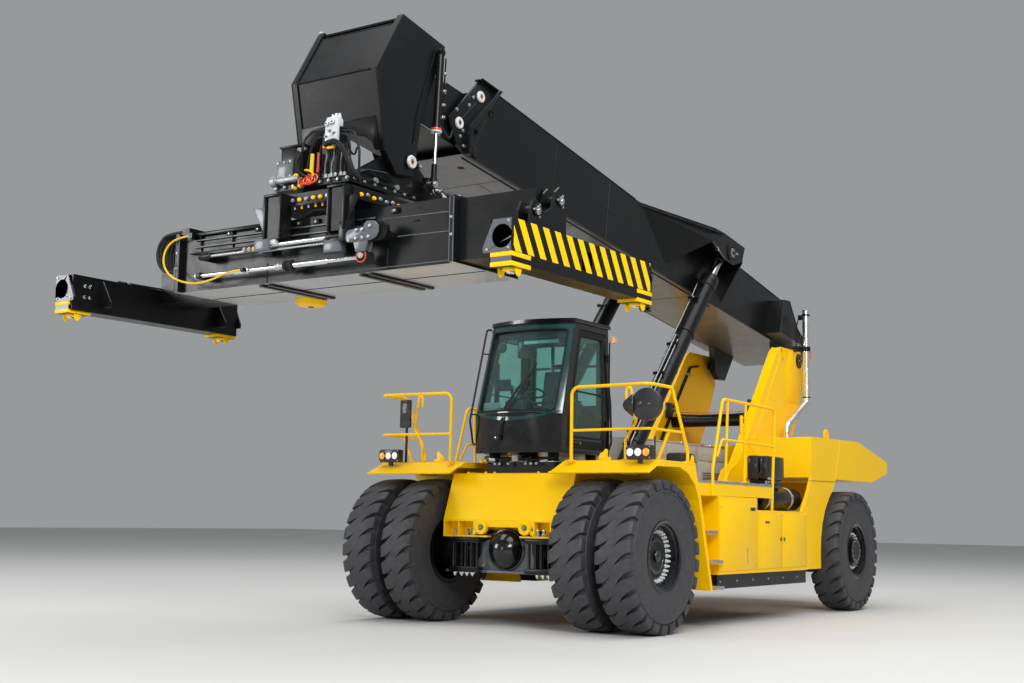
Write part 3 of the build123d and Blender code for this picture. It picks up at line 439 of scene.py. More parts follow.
    def build(self, body, replaces=()):
        """Makes the object, lets it ride on its body, and names the finish it takes."""
        mesh = bpy.data.meshes.new(self.name)
        mesh.from_pydata(self.points, [], self.faces)
        for finish in self.finishes:
            mesh.materials.append(finish)
        mesh.polygons.foreach_set("material_index", self.finish_of)
        shape = bmesh.new()
        shape.from_mesh(mesh)
        bmesh.ops.recalc_face_normals(shape, faces=shape.faces)
        shape.to_mesh(mesh)
        shape.free()
        mesh.polygons.foreach_set("use_smooth", [True] * len(mesh.polygons))
        mesh.set_sharp_from_angle(angle=math.radians(32))
        thing = bpy.data.objects.new(self.name, mesh)
        bpy.context.scene.collection.objects.link(thing)
        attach(thing, body)
        if replaces:
            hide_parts(*replaces)
        return thing


def arc(count, radius, start=0.0, turn=TAU):
    """Points (a, b) round a circle, or along part of it."""
    last = count if abs(turn - TAU) < 1e-6 else count - 1
    return [(radius * math.cos(start + turn * n / last), radius * math.sin(start + turn * n / last))
        for n in range(count)]


def circle_of(place, out, radius, count, start=0.0):
    """Places round a bolt circle."""
    a = clear_of(out)
    b = out.cross(a)
    return [place + a * p + b * q for p, q in arc(count, radius, start)]


def paint_faces(node, finish, x=None, y=None, z=None, facing=None):
    """Gives another finish to the CAD node's faces inside the limits that look the given way."""
    mesh = frame["nodes"][node].data
    mesh.materials.append(finish)
    limits = ((x, 0.0, 0), (y, AXLE_Y, 1), (z, 0.0, 2))
    for face in mesh.polygons:
        inside = all(span is None or span[0] <= face.center[n] - shift <= span[1] for span, shift, n in limits)
        if inside and (facing is None or face.normal.dot(facing) > 0.9):
            face.material_index = len(mesh.materials) - 1

# ------------------------------------------------------------------ hoses that hang free on the spreader
def free_hose(name, points, radius, finish, body, node):
    """A smooth hose through its bends, as one open curve; where the CAD has that hose, it stands for it."""
    data = bpy.data.curves.new(name, "CURVE")
    data.dimensions = "3D"
    data.bevel_depth = radius
    data.bevel_resolution = 6
    data.resolution_u = 10
    data.use_fill_caps = True
    spline = data.splines.new("NURBS")
    spline.points.add(len(points) - 1)
    for control, point in zip(spline.points, points):
        control.co = (*point, 1.0)
    spline.order_u = 3
    spline.use_endpoint_u = True
    data.materials.append(finish)
    thing = bpy.data.objects.new(name, data)
    bpy.context.scene.collection.objects.link(thing)
    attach(thing, body)
    if node:
        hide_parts(node)
    return thing


BEAM = "spreader_beam"
HOSE_RADIUS = 0.019
HOSE_LOOP = ((-1.9, 4.402), (-2.128, 4.402), (-2.228, 4.344), (-2.286, 4.244), (-2.286, 4.128), (-2.228, 4.028),
    (-2.128, 3.97), (-1.99, 3.97))
for n in range(6):
    y = -3.94 + 0.05 * n
    place = {1: "front", 3: "rear"}.get(n)
    route = [at(x, y, z) for x, z in HOSE_LOOP]
    loop = free_hose("ribbed_hose_" + (place or str(n)), route, HOSE_RADIUS, HOSE, BEAM,
        "hose_loop_" + place if place else None)
YELLOW_HOSE_RADIUS = 0.011
YELLOW_HOSE_POINTS = ((-0.76, -4.155, 3.845), (-0.94, -4.155, 3.845), (-1.18, -4.155, 3.775), (-1.43, -4.155, 3.75),
    (-1.68, -4.15, 3.8), (-1.88, -4.135, 3.89), (-2.01, -4.11, 4.04), (-2.0, -4.085, 4.21), (-1.88, -4.04, 4.32),
    (-1.68, -4.04, 4.32))
route = [at(*point) for point in YELLOW_HOSE_POINTS]
yellow = free_hose("yellow_supply_hose", route, YELLOW_HOSE_RADIUS, YELLOW_HOSE, BEAM,
    "yellow_hose")

# ------------------------------------------------------------------ tyres
TYRE_R = max(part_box("front_tyres_left")[1].z, 0.8) / 2
LUGS = 26
TREAD_DEPTH = 0.052
# Half the casing under the lugs, from the bead out: (radius, distance from the tyre's middle).
CASING = ((TYRE_R - 0.497, 0.18), (TYRE_R - 0.48, 0.205), (TYRE_R - 0.44, 0.2195), (TYRE_R - 0.33, 0.227),
    (TYRE_R - 0.23, 0.2262), (TYRE_R - 0.16, 0.219), (TYRE_R - 0.155, 0.2268), (TYRE_R - 0.137, 0.2262),
    (TYRE_R - 0.131, 0.216), (TYRE_R - 0.085, 0.193), (TYRE_R - 0.058, 0.165), (TYRE_R - TREAD_DEPTH, 0.11),
    (TYRE_R - TREAD_DEPTH, 0.05), (TYRE_R, 0.034))
# Along a lug from the middle of the tread to the foot of its side face: (radius, distance out, groove share, rise).
# The groove share is how much of the pitch the gap beside the lug takes; the rise is the slant, in pitches.
LUG_STATIONS = ((TYRE_R, 0.03, 0.0, 0.0), (TYRE_R, 0.052, 0.06, 0.14), (TYRE_R - 0.001, 0.09, 0.15, 0.32),
    (TYRE_R - 0.003, 0.135, 0.23, 0.46), (TYRE_R - 0.008, 0.175, 0.29, 0.55), (TYRE_R - 0.018, 0.207, 0.33, 0.6),
    (TYRE_R - 0.03, 0.2225, 0.34, 0.62), (TYRE_R - 0.075, 0.227, 0.34, 0.62), (TYRE_R - 0.118, 0.2275, 0.34, 0.62))


def lugged_tyre(pile, middle, y):
    """A haulage tyre: casing, slanting lugs that reach round both shoulders, and the fine cuts between them, drawn as
    strips of painted shade.
    """
    hub = at(middle, y, TYRE_R)
    whole = list(CASING) + [(radius, -out) for radius, out in reversed(CASING)]
    pile.turned(TYRE, whole, hub, X, 120)

    def round_tyre(angle, radius, out):
        return hub + X * out + (Y * math.cos(angle) + Z * math.sin(angle)) * radius

    pitch = TAU / LUGS
    for half in (1, -1):
        for n in range(LUGS):
            start = (n + (0.0 if half > 0 else 0.5)) * pitch
            points, faces = [], []
            for radius, out, gap, rise in LUG_STATIONS:
                middle_angle = start - half * rise * pitch
                reach = (1 - gap) * pitch / 2
                depth = 0.07 if out > 0.2 else TREAD_DEPTH + 0.006
                lower = radius if radius < TYRE_R - 0.05 else radius - depth
                for share in (-1.0, -0.34, 0.34, 1.0):
                    points.append(round_tyre(middle_angle + share * reach, radius, half * out))
                for share in (-1.0, 1.0):
                    points.append(round_tyre(middle_angle + share * reach, lower, half * (out - 0.03 * (out > 0.2))))
            for k in range(len(LUG_STATIONS) - 1):
                a, b = 6 * k, 6 * (k + 1)
                faces.extend([(a, a + 1, b + 1, b), (a + 1, a + 2, b + 2, b + 1), (a + 2, a + 3, b + 3, b + 2),
                    (a + 4, a, b, b + 4), (a + 3, a + 5, b + 5, b + 3)])
            last = 6 * (len(LUG_STATIONS) - 1)
            faces.append((last, last + 1, last + 2, last + 3, last + 5, last + 4))
            pile.take(TYRE, points, faces)
            # The cut that joins this lug's tip to the one across the middle, drawn as a near-black strip of painted
            # shade.
            tip, other = start + pitch / 2, start + pitch
            ends = [(tip, half * 0.033), (other, -half * 0.033)]
            cut = [round_tyre(angle + d, TYRE_R + 0.0006, out) for angle, out in ends for d in (-0.0019, 0.0019)]
            pile.take(SHADE_AND_DARK_PARTS, cut, [(0, 1, 3, 2)])

# ------------------------------------------------------------------ rims and hubs
RIM_R = 0.405


def rim_dress(pile, side, edge_x, plate_x, y, nuts, nut_r, drum):
    """The rim's rolled lip and lock ring, the ring of wheel nuts and the bolted hub inside the dish."""
    out = X * side
    lip = [(RIM_R - 0.036, -0.3), (RIM_R - 0.036, -0.02), (RIM_R - 0.03, -0.004), (RIM_R - 0.016, 0.006),
        (RIM_R + 0.004, 0.01), (RIM_R + 0.018, 0.003), (RIM_R + 0.02, -0.012), (RIM_R + 0.006, -0.03)]
    centre = at(side * edge_x, y, TYRE_R)
    pile.turned(RIM_BLACK, lip, centre, out, 72)
    pile.turned(RIM_BLACK, [(RIM_R - 0.038, -0.034), (RIM_R - 0.052, -0.04), (RIM_R - 0.052, -0.062),
        (RIM_R - 0.038, -0.068)], centre, out, 72)
    plate = at(side * plate_x, y, TYRE_R)
    pile.turned(RIM_BLACK, [(RIM_R - 0.034, 0.1), (RIM_R - 0.05, 0.03), (nut_r + 0.04, 0.014), (nut_r - 0.04, 0.014),
        (nut_r - 0.05, 0.0)], plate, out, 72)
    # The plated nuts are drawn in light grey paint instead of metal, so their brightness is a painted reflection.
    for place in circle_of(plate + out * 0.014, out, nut_r, nuts):
        pile.turned(SILVER, ((0.02, 0), (0.02, 0.026), (0.015, 0.031), (0.012, 0.054), (0, 0.058)), place, out, 6)
        pile.turned(SILVER, ((0.025, 0), (0.025, 0.005), (0.018, 0.006)), place, out, 14)
    for x, radius, count, size in drum:
        face = at(side * x, y, TYRE_R)
        pile.turned(RIM_BLACK, ((radius + 0.012, -0.03), (radius + 0.014, -0.004), (radius + 0.01, 0.002),
            (radius - 0.03, 0.003), (radius - 0.034, -0.004)), face, out, 56)
        pile.bolts(circle_of(face, out, radius - 0.018, count), out, size)


# Drive rims are dished deep; the steered ones carry a flat round hub: (face x, radius, bolts, bolt size).
FRONT_DRUM = ((1.952, 0.196, 0, 0.007), (1.976, 0.056, 0, 0.006))
REAR_DRUM = ((2.055, 0.172, 12, 0.006),)
# The steer axle stands this far behind the drive axle.
STEER_Y = 6.3
for side, hand in SIDES:
    twins = Pile("lugged_tyres_" + hand)
    for middle in (1.229, 1.849):
        lugged_tyre(twins, side * middle, 0.0)
    twins.build("front_wheel_" + hand, ("front_tyres_" + hand,))
    dress = Pile("drive_rim_trim_" + hand)
    rim_dress(dress, side, 2.058, 1.912, 0.0, 30, 0.292, FRONT_DRUM)
    dress.rod(STEEL, at(side * 1.9, 0.0, TYRE_R + 0.352), at(side * 1.965, 0.0, TYRE_R + 0.358), 0.006)
    dress.build("front_wheel_" + hand)
    single = Pile("steer_tyre_" + hand)
    lugged_tyre(single, side * 1.861, STEER_Y)
    single.build("rear_wheel_" + hand, ("rear_tyre_" + hand,))
    dress = Pile("steer_rim_trim_" + hand)
    rim_dress(dress, side, 2.066, 1.94, STEER_Y, 24, 0.262, REAR_DRUM)
    dress.build("rear_wheel_" + hand)

# ------------------------------------------------------------------ spreader ends
LOCK_X = 2.927
END_X = (2.78, 3.03)
SLEW = -3.434
END_HALF = 1.27
STRIPE = 0.1


def stripes(pile, x, out, y_span, z_span, lean):
    """Slanting warning stripes on an upright face that looks along X, cut off square at both ends."""
    height = z_span[1] - z_span[0]
    start = y_span[0] - abs(lean)
    while start < y_span[1] + abs(lean):
        top_left = start - lean
        quad = [(start, 0.0), (start + STRIPE, 0.0), (top_left + STRIPE, height), (top_left, height)]
        for limit, keep in ((y_span[0], 1), (y_span[1], -1)):
            cut = []
            for (ya, za), (yb, zb) in zip(quad, quad[1:] + quad[:1]):
                a_in, b_in = keep * (ya - limit) >= 0, keep * (yb - limit) >= 0
                if a_in:
                    cut.append((ya, za))
                if a_in != b_in:
                    share = (limit - ya) / (yb - ya)
                    cut.append((limit, za + share * (zb - za)))
            quad = cut
            if len(quad) < 3:
                break
        if len(quad) >= 3:
            pile.prism(YELLOW, quad, at(x, 0, z_span[0]), Y, Z, 0.002 * out, 0.0)
        start += 2 * STRIPE


def end_beam_trim(side, hand):
    """Stripes, bands, lobed plates, hubs and bolts on one end beam."""
    trim = Pile("end_beam_trim_" + hand)
    out = X * side
    front, back = SLEW - END_HALF, SLEW + END_HALF
    stripes(trim, side * (END_X[1] + 0.0005), side, (front + 0.03, back - 0.03), (3.602, 3.893), 0.17)
    for end, way in ((front, -1), (back, 1)):
        y = sorted((end + way * 0.003, end - way * 0.302))
        for low in (3.469, 3.556):
            trim.box(YELLOW, flank(side, 2.807, END_X[1] + 0.003), y, (low, low + 0.04), 0.0015)
        lock_y = end - way * 0.1405
        trim.turned(YELLOW, ((0.075, 0), (0.075, -0.018), (0.058, -0.026), (0.044, -0.026)),
            at(side * LOCK_X, lock_y, 3.469), Z, 28)
        # Cover plate with the round hole at the end of the beam, bolted at its corners.
        hole = [(a + 2.93, b + 3.735) for a, b in arc(29, 0.106)]
        rim = [(2.735, 3.598), (3.028, 3.598), (3.028, 3.888), (2.838, 3.888), (2.73, 3.645), (2.735, 3.598)]
        ring = [(p[0] * side, p[1]) for p in hole + list(reversed(rim))]
        trim.prism(PLATE_GREY, ring, at(0, end + way * 0.001, 0), X, Z, -0.006 * way, 0.0)
        corners = [at(side * x, end + way * 0.007, z) for x, z in ((2.775, 3.625), (3.002, 3.625), (3.002, 3.862))]
        trim.bolts(corners, Y * way, 0.007)
        trim.turned(BLACK, ((0.111, -0.02), (0.111, 0.003), (0.1, 0.006), (0.1, -0.02)), at(side * 2.93, end, 3.735),
            Y * way, 40)
        # Guide horns in yellow beside each lock.
        for x in (2.822, 3.0):
            horn = [(-0.05, 0), (0.05, 0), (0.034, -0.055), (0.01, -0.075), (-0.01, -0.075), (-0.034, -0.055)]
            trim.prism(YELLOW, horn, at(side * x, lock_y, 3.47), Y, Z, 0.014 * side, 0.002)
    # Chrome caps on the two hubs between the lobed plates of the left beam.
    for y, z in ((-4.195, 4.056), (-3.8, 4.222)) if hand == "left" else ():
        hub = at(side * 2.962, y, z)
        trim.turned(CHROME, ((0.04, 0), (0.04, 0.012), (0.03, 0.018), (0.014, 0.018), (0.014, 0.03), (0, 0.032)), hub,
            out, 28)
        trim.bolts(circle_of(hub, out, 0.062, 3), out, 0.006, CHROME)
    # Inner face: gussets and four bolts near the arm, grease nipples along the top.
    for y in (-4.3, -2.55):
        web = [(0, 0), (0, 0.3), (-0.05, 0.3), (-0.2, 0.05), (-0.2, 0)]
        trim.prism(BLACK, [(a * side, b) for a, b in web], at(side * END_X[0], y, 3.56), X, Z, 0.018, 0.002)
    for y in (-4.45, -4.52):
        for z in (3.66, 3.78):
            trim.bolt(at(side * (END_X[0] - 0.001), y, z), -out, 0.011, CHROME)
    for n in range(5):
        trim.bolt(at(side * 2.905, -3.25 + 0.32 * n, 3.896), Z, 0.008)
    trim.pipe(HOSE, [at(side * 2.8, -4.05, 3.905), at(side * 2.8, -3.2, 3.915), at(side * 2.8, -2.35, 3.905)], 0.011)
    for y in (-3.9, -3.4, -2.9, -2.45):
        trim.box(ZINC, flank(side, 2.782, 2.818), (y - 0.02, y + 0.02), (3.893, 3.922), 0.003)
    trim.build("arm_" + hand)


for side, hand in SIDES:
    end_beam_trim(side, hand)
    paint_faces("arm_" + hand, PLATE_GREY, y=(SLEW - END_HALF - 0.01, SLEW - END_HALF + 0.001), facing=-Y)
    for end, way in (("front", -1), ("rear", 1)):
        lock = Pile("lock_cone_" + end + "_" + hand)
        centre = at(side * LOCK_X, SLEW + way * 1.1295, 0)
        lock.rod(STEEL, centre + Z * 3.445, centre + Z * 3.615, 0.03, 28)
        # The head tapers towards its foot: (half width, half length, height).
        head = [centre + X * a * w + Y * b * h + Z * z for w, h, z in ((0.016, 0.034, 3.42), (0.025, 0.052, 3.45))
            for a, b in ((-1, -1), (1, -1), (1, 1), (-1, 1))]
        lock.edged(CHROME, head, BOX_FACES, 0.006)
        lock.build("twistlock_" + end + "_" + hand, ("twistlock_" + end + "_" + hand,))

# ------------------------------------------------------------------ bumper, axle clamps and fenders
def weld_bead(pile, finish, points, radius=0.005):
    """A laid bead along the joint between two plates."""
    pile.pipe(finish, points, radius, 0.01, 6)


def bumper_trim():
    """Folded edges, cell ribs, tow eyes and the long axle bolts at the machine's nose."""
    trim = Pile("bumper_trim")
    for side in (-1, 1):
        # The tow eyes: a raised ring round a dark steel pin whose face shows in the hole.
        eye = at(side * 0.322, -0.321, 1.195)
        trim.turned(YELLOW, ((0.088, 0.002), (0.088, -0.004), (0.08, -0.009), (0.044, -0.009), (0.04, -0.003)), eye,
            Y, 40)
        trim.turned(PLATE_GREY, ((0, -0.012), (0.026, -0.012), (0.031, -0.006), (0.031, 0.05)), eye, Y, 28)
        trim.turned(STEEL, ((0, -0.016), (0.01, -0.016), (0.011, -0.01)), eye, Y, 16)
        # A slanting brace from the eye's plate down to the cell floor.
        brace = [(0.4, 1.115), (0.44, 1.095), (0.45, 1.14), (0.4, 1.17)]
        trim.prism(YELLOW, [(side * x, z) for x, z in brace], at(0, -0.29, 0), X, Z, 0.02, 0.002)
        for x in (0.44, 0.68, 0.899):
            weld_bead(trim, YELLOW, [at(side * x, -0.296, 1.288), at(side * x, -0.2, 1.288)])
        for x in (0.476, 0.559, 0.743):
            trim.turned(CHROME, ((0.03, 0), (0.03, 0.028), (0.024, 0.034), (0.019, 0.036), (0.019, 0.07),
                (0.013, 0.078), (0, 0.078)), at(side * x, -0.262, 1.096), Z, 6)
            trim.turned(STEEL, ((0.036, 0), (0.036, 0.004), (0.028, 0.005)), at(side * x, -0.262, 1.095), Z, 20)
        # Long bolts from the upper clamp to the lower one, nuts below.
        for x in (0.476, 0.559, 0.64, 0.743):
            low = at(side * x, -0.262, 0.64)
            trim.turned(BLACK, ((0.024, 0.0), (0.024, 0.455)), low, Z, 20)
            trim.turned(CHROME, ((0, -0.045), (0.014, -0.045), (0.018, -0.036), (0.018, -0.028), (0.028, -0.026),
                (0.03, -0.022), (0.03, 0.0)), low, Z, 6)
        for z, edge in ((1.005, 1.07), (0.64, 0.71)):
            trim.box(BLACK, flank(side, 0.34, 0.79), (-0.337, -0.33), (z + 0.012, edge - 0.012), 0.002)
    # Small knobs and clips along the top of the nose plate.
    for x, y in ((-0.7, -0.08), (-0.42, -0.09), (-0.3, -0.07), (0.36, -0.08), (0.52, -0.08), (0.66, -0.08)):
        trim.turned(YELLOW, ((0.016, 0), (0.017, 0.014), (0.013, 0.026), (0, 0.03)), at(x, y, 1.861), Z, 18)
    weld_bead(trim, YELLOW, [at(-0.9, -0.104, 1.862), at(0.9, -0.104, 1.862)], 0.006)
    trim.build("chassis")


def axle_nose():
    """The slate cover on the axle housing, the glossy hub carrier bulb in it, and the tie bar below."""
    nose = Pile("axle_nose")
    sheet = [(-0.5, 0.665), (-0.4, 0.665), (0.4, 0.665), (0.5, 0.665), (0.36, 0.905), (0.36, 1.0), (0.3, 1.04),
        (-0.3, 1.04), (-0.36, 1.0), (-0.36, 0.905)]
    nose.prism(PLATE_GREY, sheet, at(0, -0.206, 0), X, Z, -0.012, 0.003)
    nose.turned(AXLE_BLACK, ((0.262, -0.001), (0.262, 0.01), (0.252, 0.016), (0.238, 0.016), (0.236, -0.001)),
        at(0, -0.218, 0.925), -Y, 56)
    nose.box(PLATE_GREY, (-0.9, 0.9), (-0.25, -0.19), (0.64, 0.668), 0.004)
    nose.build("chassis")
    frame["nodes"]["drive_axle"].data.materials[0] = AXLE_BLACK


bumper_trim()
axle_nose()


def fender_trim(side, hand):
    """The turned-down lip, stiffening rolls and hanging brackets of one front fender."""
    trim = Pile("fender_trim_" + hand)
    lip = [at(side * 2.071, y, z) for y, z in ((-0.424, 1.855), (-0.1, 1.998), (0.74, 1.998), (0.908, 1.572),
        (1.11, 0.86), (1.222, 0.475))]
    trim.pipe(YELLOW, lip, 0.009, 0.02, 8)
    front = [at(side * 0.74, -0.428, 1.862), at(side * 2.07, -0.428, 1.862)]
    trim.pipe(YELLOW, front, 0.009, 0.02, 8)
    # Fold line across the top where the slope begins, and the drain lip behind it.
    for y, z in ((-0.095, 2.011), (0.745, 2.011)):
        trim.pipe(YELLOW, [at(side * 0.745, y, z), at(side * 2.07, y, z)], 0.004, 0.01, 6)
    # Hanger plates under the fender, over the tyres.
    for x in (0.96, 1.5):
        web = [(-0.2, 0.0), (0.45, 0.0), (0.3, -0.09), (-0.05, -0.09)]
        trim.prism(YELLOW, web, at(side * x, 0.0, 1.938), Y, Z, 0.012, 0.002)
    for x, y in ((0.8, 0.05), (0.8, 0.45), (1.2, 0.05), (1.2, 0.6), (1.6, 0.62), (1.98, 0.62)):
        trim.bolt(at(side * x, y, 2.01), Z, 0.008)
    trim.build("chassis")


for side, hand in SIDES:
    fender_trim(side, hand)

# ------------------------------------------------------------------ cab
# Sections of the cab: (height, half width, y of the front corners, bow of the front).
CAB_SECTIONS = ((2.12, 0.64, -0.01, 0.17), (2.6, 0.65, -0.01, 0.2), (3.78, 0.62, 0.32, 0.16))


def cab_section(z):
    """Half width, corner y and bow of the cab's front at a height."""
    low, high = CAB_SECTIONS[:2] if z < CAB_SECTIONS[1][0] else CAB_SECTIONS[1:]
    share = (z - low[0]) / (high[0] - low[0])
    return [a + (b - a) * share for a, b in zip(low[1:], high[1:])]


def cab_front(x, z, out=0.0):
    """A place on the bowed front of the cab, or that far in front of it."""
    half, corner, bow = cab_section(z)
    radius = (half * half + bow * bow) / (2 * bow)
    y = corner - (math.sqrt(radius * radius - x * x) - (radius - bow))
    return at(x, y - out, z)


def cab_side(side, y, z, out=0.0):
    """A place on the cab's side, or that far beside it."""
    return at(side * (cab_section(z)[0] + out), y, z)


def bonded_edge(pile, steps=28):
    """The dark glazed edge that frames the windscreen and dips in a long curve across the front."""
    def dip(x):
        return 2.515 + 0.115 * (x / 0.64) ** 2

    for low, high in ((dip, lambda x: 2.632), (lambda x: 3.698, lambda x: 3.745)):
        points = [cab_front(x, z(x), 0.005) for z in (low, high) for x in (-0.636 + 1.272 * n / steps
            for n in range(steps + 1))]
        pile.take(BONDED_GLASS, points, [(n, n + 1, steps + 2 + n, steps + 1 + n) for n in range(steps)])
    for side in (-1, 1):
        points = [cab_front(side * x * cab_section(z)[0], z, 0.005)
            for z in (2.632 + 1.066 * n / 10 for n in range(11)) for x in (0.889, 0.955, 0.992)]
        faces = [(3 * n + k, 3 * n + k + 1, 3 * n + k + 4, 3 * n + k + 3)[::side] for n in range(10) for k in (0, 1)]
        pile.take(BONDED_GLASS, points, faces)


def cab_outside():
    """Window rubbers, roof gutter, wiper, hand rail, lamp bracket and panel seams."""
    trim = Pile("cab_trim")
    low, high = 2.64, 3.69
    bottom = [cab_front(-0.565 + 1.13 * n / 14, low, 0.004) for n in range(15)]
    upper = [cab_front(0.565 - 1.13 * n / 14, high, 0.004) for n in range(15)]
    trim.pipe(RUBBER_SEAL, bottom + upper + bottom[:2], 0.013, 0.06, 10)
    bonded_edge(trim)
    # Press line that sweeps across the lower front panel.
    line = [cab_front(0.28 - 0.28 * n / 8, 2.56 - 0.4 * (n / 8) ** 0.7, 0.002) for n in range(9)]
    trim.pipe(AXLE_BLACK, line, 0.006, 0.05, 6)
    # Wiper: motor cap, two parallel arms, and the blade that lies along the glass.
    foot = cab_front(-0.171, 2.3, 0.012)
    trim.turned(PLASTIC, ((0, 0.055), (0.022, 0.053), (0.034, 0.04), (0.038, -0.012)), foot, -Y, 28)
    trim.turned(CHROME, ((0, 0.064), (0.01, 0.063), (0.012, 0.052)), foot, -Y, 16)
    tip = cab_front(0.2, 3.04, 0.03)
    for shift in (-0.018, 0.018):
        bend = cab_front(-0.15 + shift, 2.44, 0.045)
        trim.pipe(PLASTIC, [foot + X * shift - Y * 0.045, bend, tip + X * shift], 0.009, 0.05, 8)
    start, end = cab_front(-0.085, 2.66, 0.016), cab_front(0.262, 3.24, 0.016)
    middle = cab_front(0.09, 2.95, 0.016)
    trim.pipe(RUBBER_SEAL, [start, middle, end], 0.011, 0.2, 8)
    trim.pipe(PLASTIC, [start - Y * 0.012, middle - Y * 0.018, end - Y * 0.012], 0.008, 0.2, 8)
    trim.pipe(PLASTIC, [tip, middle - Y * 0.018], 0.009, 0.02, 8)
    trim.pipe(PLASTIC, [cab_front(-0.33, 2.37, 0.01), cab_front(-0.22, 2.36, 0.02)], 0.006, 0.02, 6)
    # Hand rail down the right front corner.
    rail = [at(-0.642, 0.3, 3.745), at(-0.668, 0.235, 3.745), at(-0.705, -0.06, 2.54), at(-0.69, -0.005, 2.24),
        at(-0.645, 0.01, 2.24)]
    trim.pipe(BLACK, rail, 0.013, 0.05, 12)
    for z, y in ((3.42, 0.165), (2.62, -0.035)):
        trim.pipe(BLACK, [cab_side(-1, y + 0.06, z, -0.004), at(-0.69, y, z)], 0.009, 0.02, 8)
    # Roof gutter, four roof bolts, aerial foot and the lamp bracket behind the door.
    for side in (-1, 1):
        trim.pipe(AXLE_BLACK, [at(side * 0.636, 0.3, 3.782), at(side * 0.636, 1.19, 3.782)], 0.01, 0.02, 8)
        for y in (0.42, 1.05):
            trim.bolt(at(side * 0.52, y, 3.825), Z, 0.009, BLACK)
    trim.turned(PLASTIC, ((0.03, 0), (0.026, 0.016), (0.01, 0.022), (0.006, 0.06), (0, 0.062)), at(0.1, 0.6, 3.825),
        Z, 20)
    bracket = [at(0.64, 1.15, 3.64), at(0.7, 1.15, 3.6), at(0.7, 1.24, 3.6), at(0.7, 1.25, 3.68), at(0.64, 1.17, 3.69)]
    trim.pipe(ZINC, bracket, 0.007, 0.02, 8)
    trim.box(AMBER_LENS, (0.665, 0.69), (1.165, 1.235), (3.605, 3.675), 0.006)
    # Rain strip and pipe beside the rear corner.
    trim.pipe(BLACK, [at(0.655, 1.12, 2.15), at(0.662, 1.12, 3.6)], 0.01, 0.02, 8)
    trim.pipe(HOSE, [at(0.6, 1.16, 3.3), at(0.64, 1.19, 2.8), at(0.65, 1.2, 2.3), at(0.56, 1.2, 2.08)], 0.014, 0.1, 8)
    trim.build("chassis")
    frame["nodes"]["cab_shell"].data.materials[0] = AXLE_BLACK
    frame["nodes"]["cab_roof"].data.materials[0] = AXLE_BLACK


def door_trim(side, hand):
    """Window rubber, handle, hinges' pins and the cross bar of one door."""
    trim = Pile("door_trim_" + hand)
    edge = [(0.186, 2.33), (0.186, 2.6), (0.442, 3.62), (1.003, 3.62), (1.003, 2.33), (0.26, 2.33)]
    edge += [edge[0]]
    corners = [cab_side(side, y, z, 0.002) for y, z in edge]
    trim.pipe(RUBBER_SEAL, rounded(corners, 0.05), 0.012, 0.01, 8)
    trim.pipe(RUBBER_SEAL, [cab_side(side, 0.19, 2.905, -0.002), cab_side(side, 1.0, 2.89, -0.002)], 0.011, 0.02, 8)
    # Outline of the leaf in the side of the cab.
    leaf = [(0.122, 2.2), (0.122, 2.6), (0.43, 3.688), (1.066, 3.688), (1.066, 2.2), (0.13, 2.2)]
    trim.pipe(RUBBER_SEAL, rounded([cab_side(side, y, z, 0.0) for y, z in leaf], 0.03), 0.005, 0.01, 6)
    # Pull handle with its lock barrel, low at the front edge.
    grip = [cab_side(side, 0.24, 2.255, 0.0), cab_side(side, 0.24, 2.255, 0.034), cab_side(side, 0.37, 2.255, 0.034),
        cab_side(side, 0.37, 2.255, 0.0)]
    trim.pipe(PLASTIC, grip, 0.011, 0.012, 10)
    trim.turned(CHROME, ((0.016, 0), (0.016, 0.01), (0.006, 0.011), (0, 0.008)), cab_side(side, 0.42, 2.255),
        X * side, 20)
    for z in (2.47, 3.34):
        trim.rod(BLACK, at(side * 0.668, 1.078, z - 0.008), at(side * 0.668, 1.078, z + 0.098), 0.0145, 16)
        for y in (1.035, 1.06):
            trim.bolt(cab_side(side, y, z + 0.045, 0.01), X * side, 0.005, BLACK)
    trim.build("door_" + hand)


def steering_wheel():
    """A thin round rim on three spokes, its column, boss and stalks."""
    wheel = Pile("steering_wheel")
    hub, lean = at(0, 0.262, 2.905), Vector((0, 0.3, 1)).normalized()
    across = lean.cross(X).normalized()
    rim = [hub + X * a + across * b for a, b in arc(36, 0.188)]
    wheel.pipe(PLASTIC, rim, 0.013, 0, 10, closed=True)
    for angle in (math.pi / 2, math.pi * 1.16, math.pi * 1.84):
        reach = X * math.cos(angle) + across * math.sin(angle)
        wheel.pipe(PLASTIC, [hub - lean * 0.02 + reach * 0.04, hub - lean * 0.01 + reach * 0.12, hub + reach * 0.182],
            0.01, 0.03, 8)
    wheel.turned(PLASTIC, ((0.052, -0.035), (0.056, -0.01), (0.04, 0.01), (0, 0.014)), hub, lean, 28)
    wheel.turned(PLASTIC, ((0.02, 0.03), (0.024, 0.05), (0.018, 0.07), (0, 0.072)), hub + X * -0.13 + across * 0.13,
        lean, 16)
    wheel.pipe(PLASTIC, [at(0, 0.135, 2.18), at(0, 0.19, 2.6), hub - lean * 0.03], 0.036, 0.05, 16)
    wheel.turned(PLASTIC, ((0.06, 0), (0.052, 0.1), (0.036, 0.14)), at(0, 0.205, 2.64), Vector((0, 0.16, 1)), 24)
    wheel.box(PLASTIC, (-0.085, 0.085), (0.05, 0.195), (2.168, 2.205), 0.01)
    for side in (-1, 1):
        wheel.pipe(PLASTIC, [at(side * 0.04, 0.225, 2.8), at(side * 0.15, 0.215, 2.83)], 0.007, 0.02, 8)
    wheel.build("chassis", ("steering_column",))


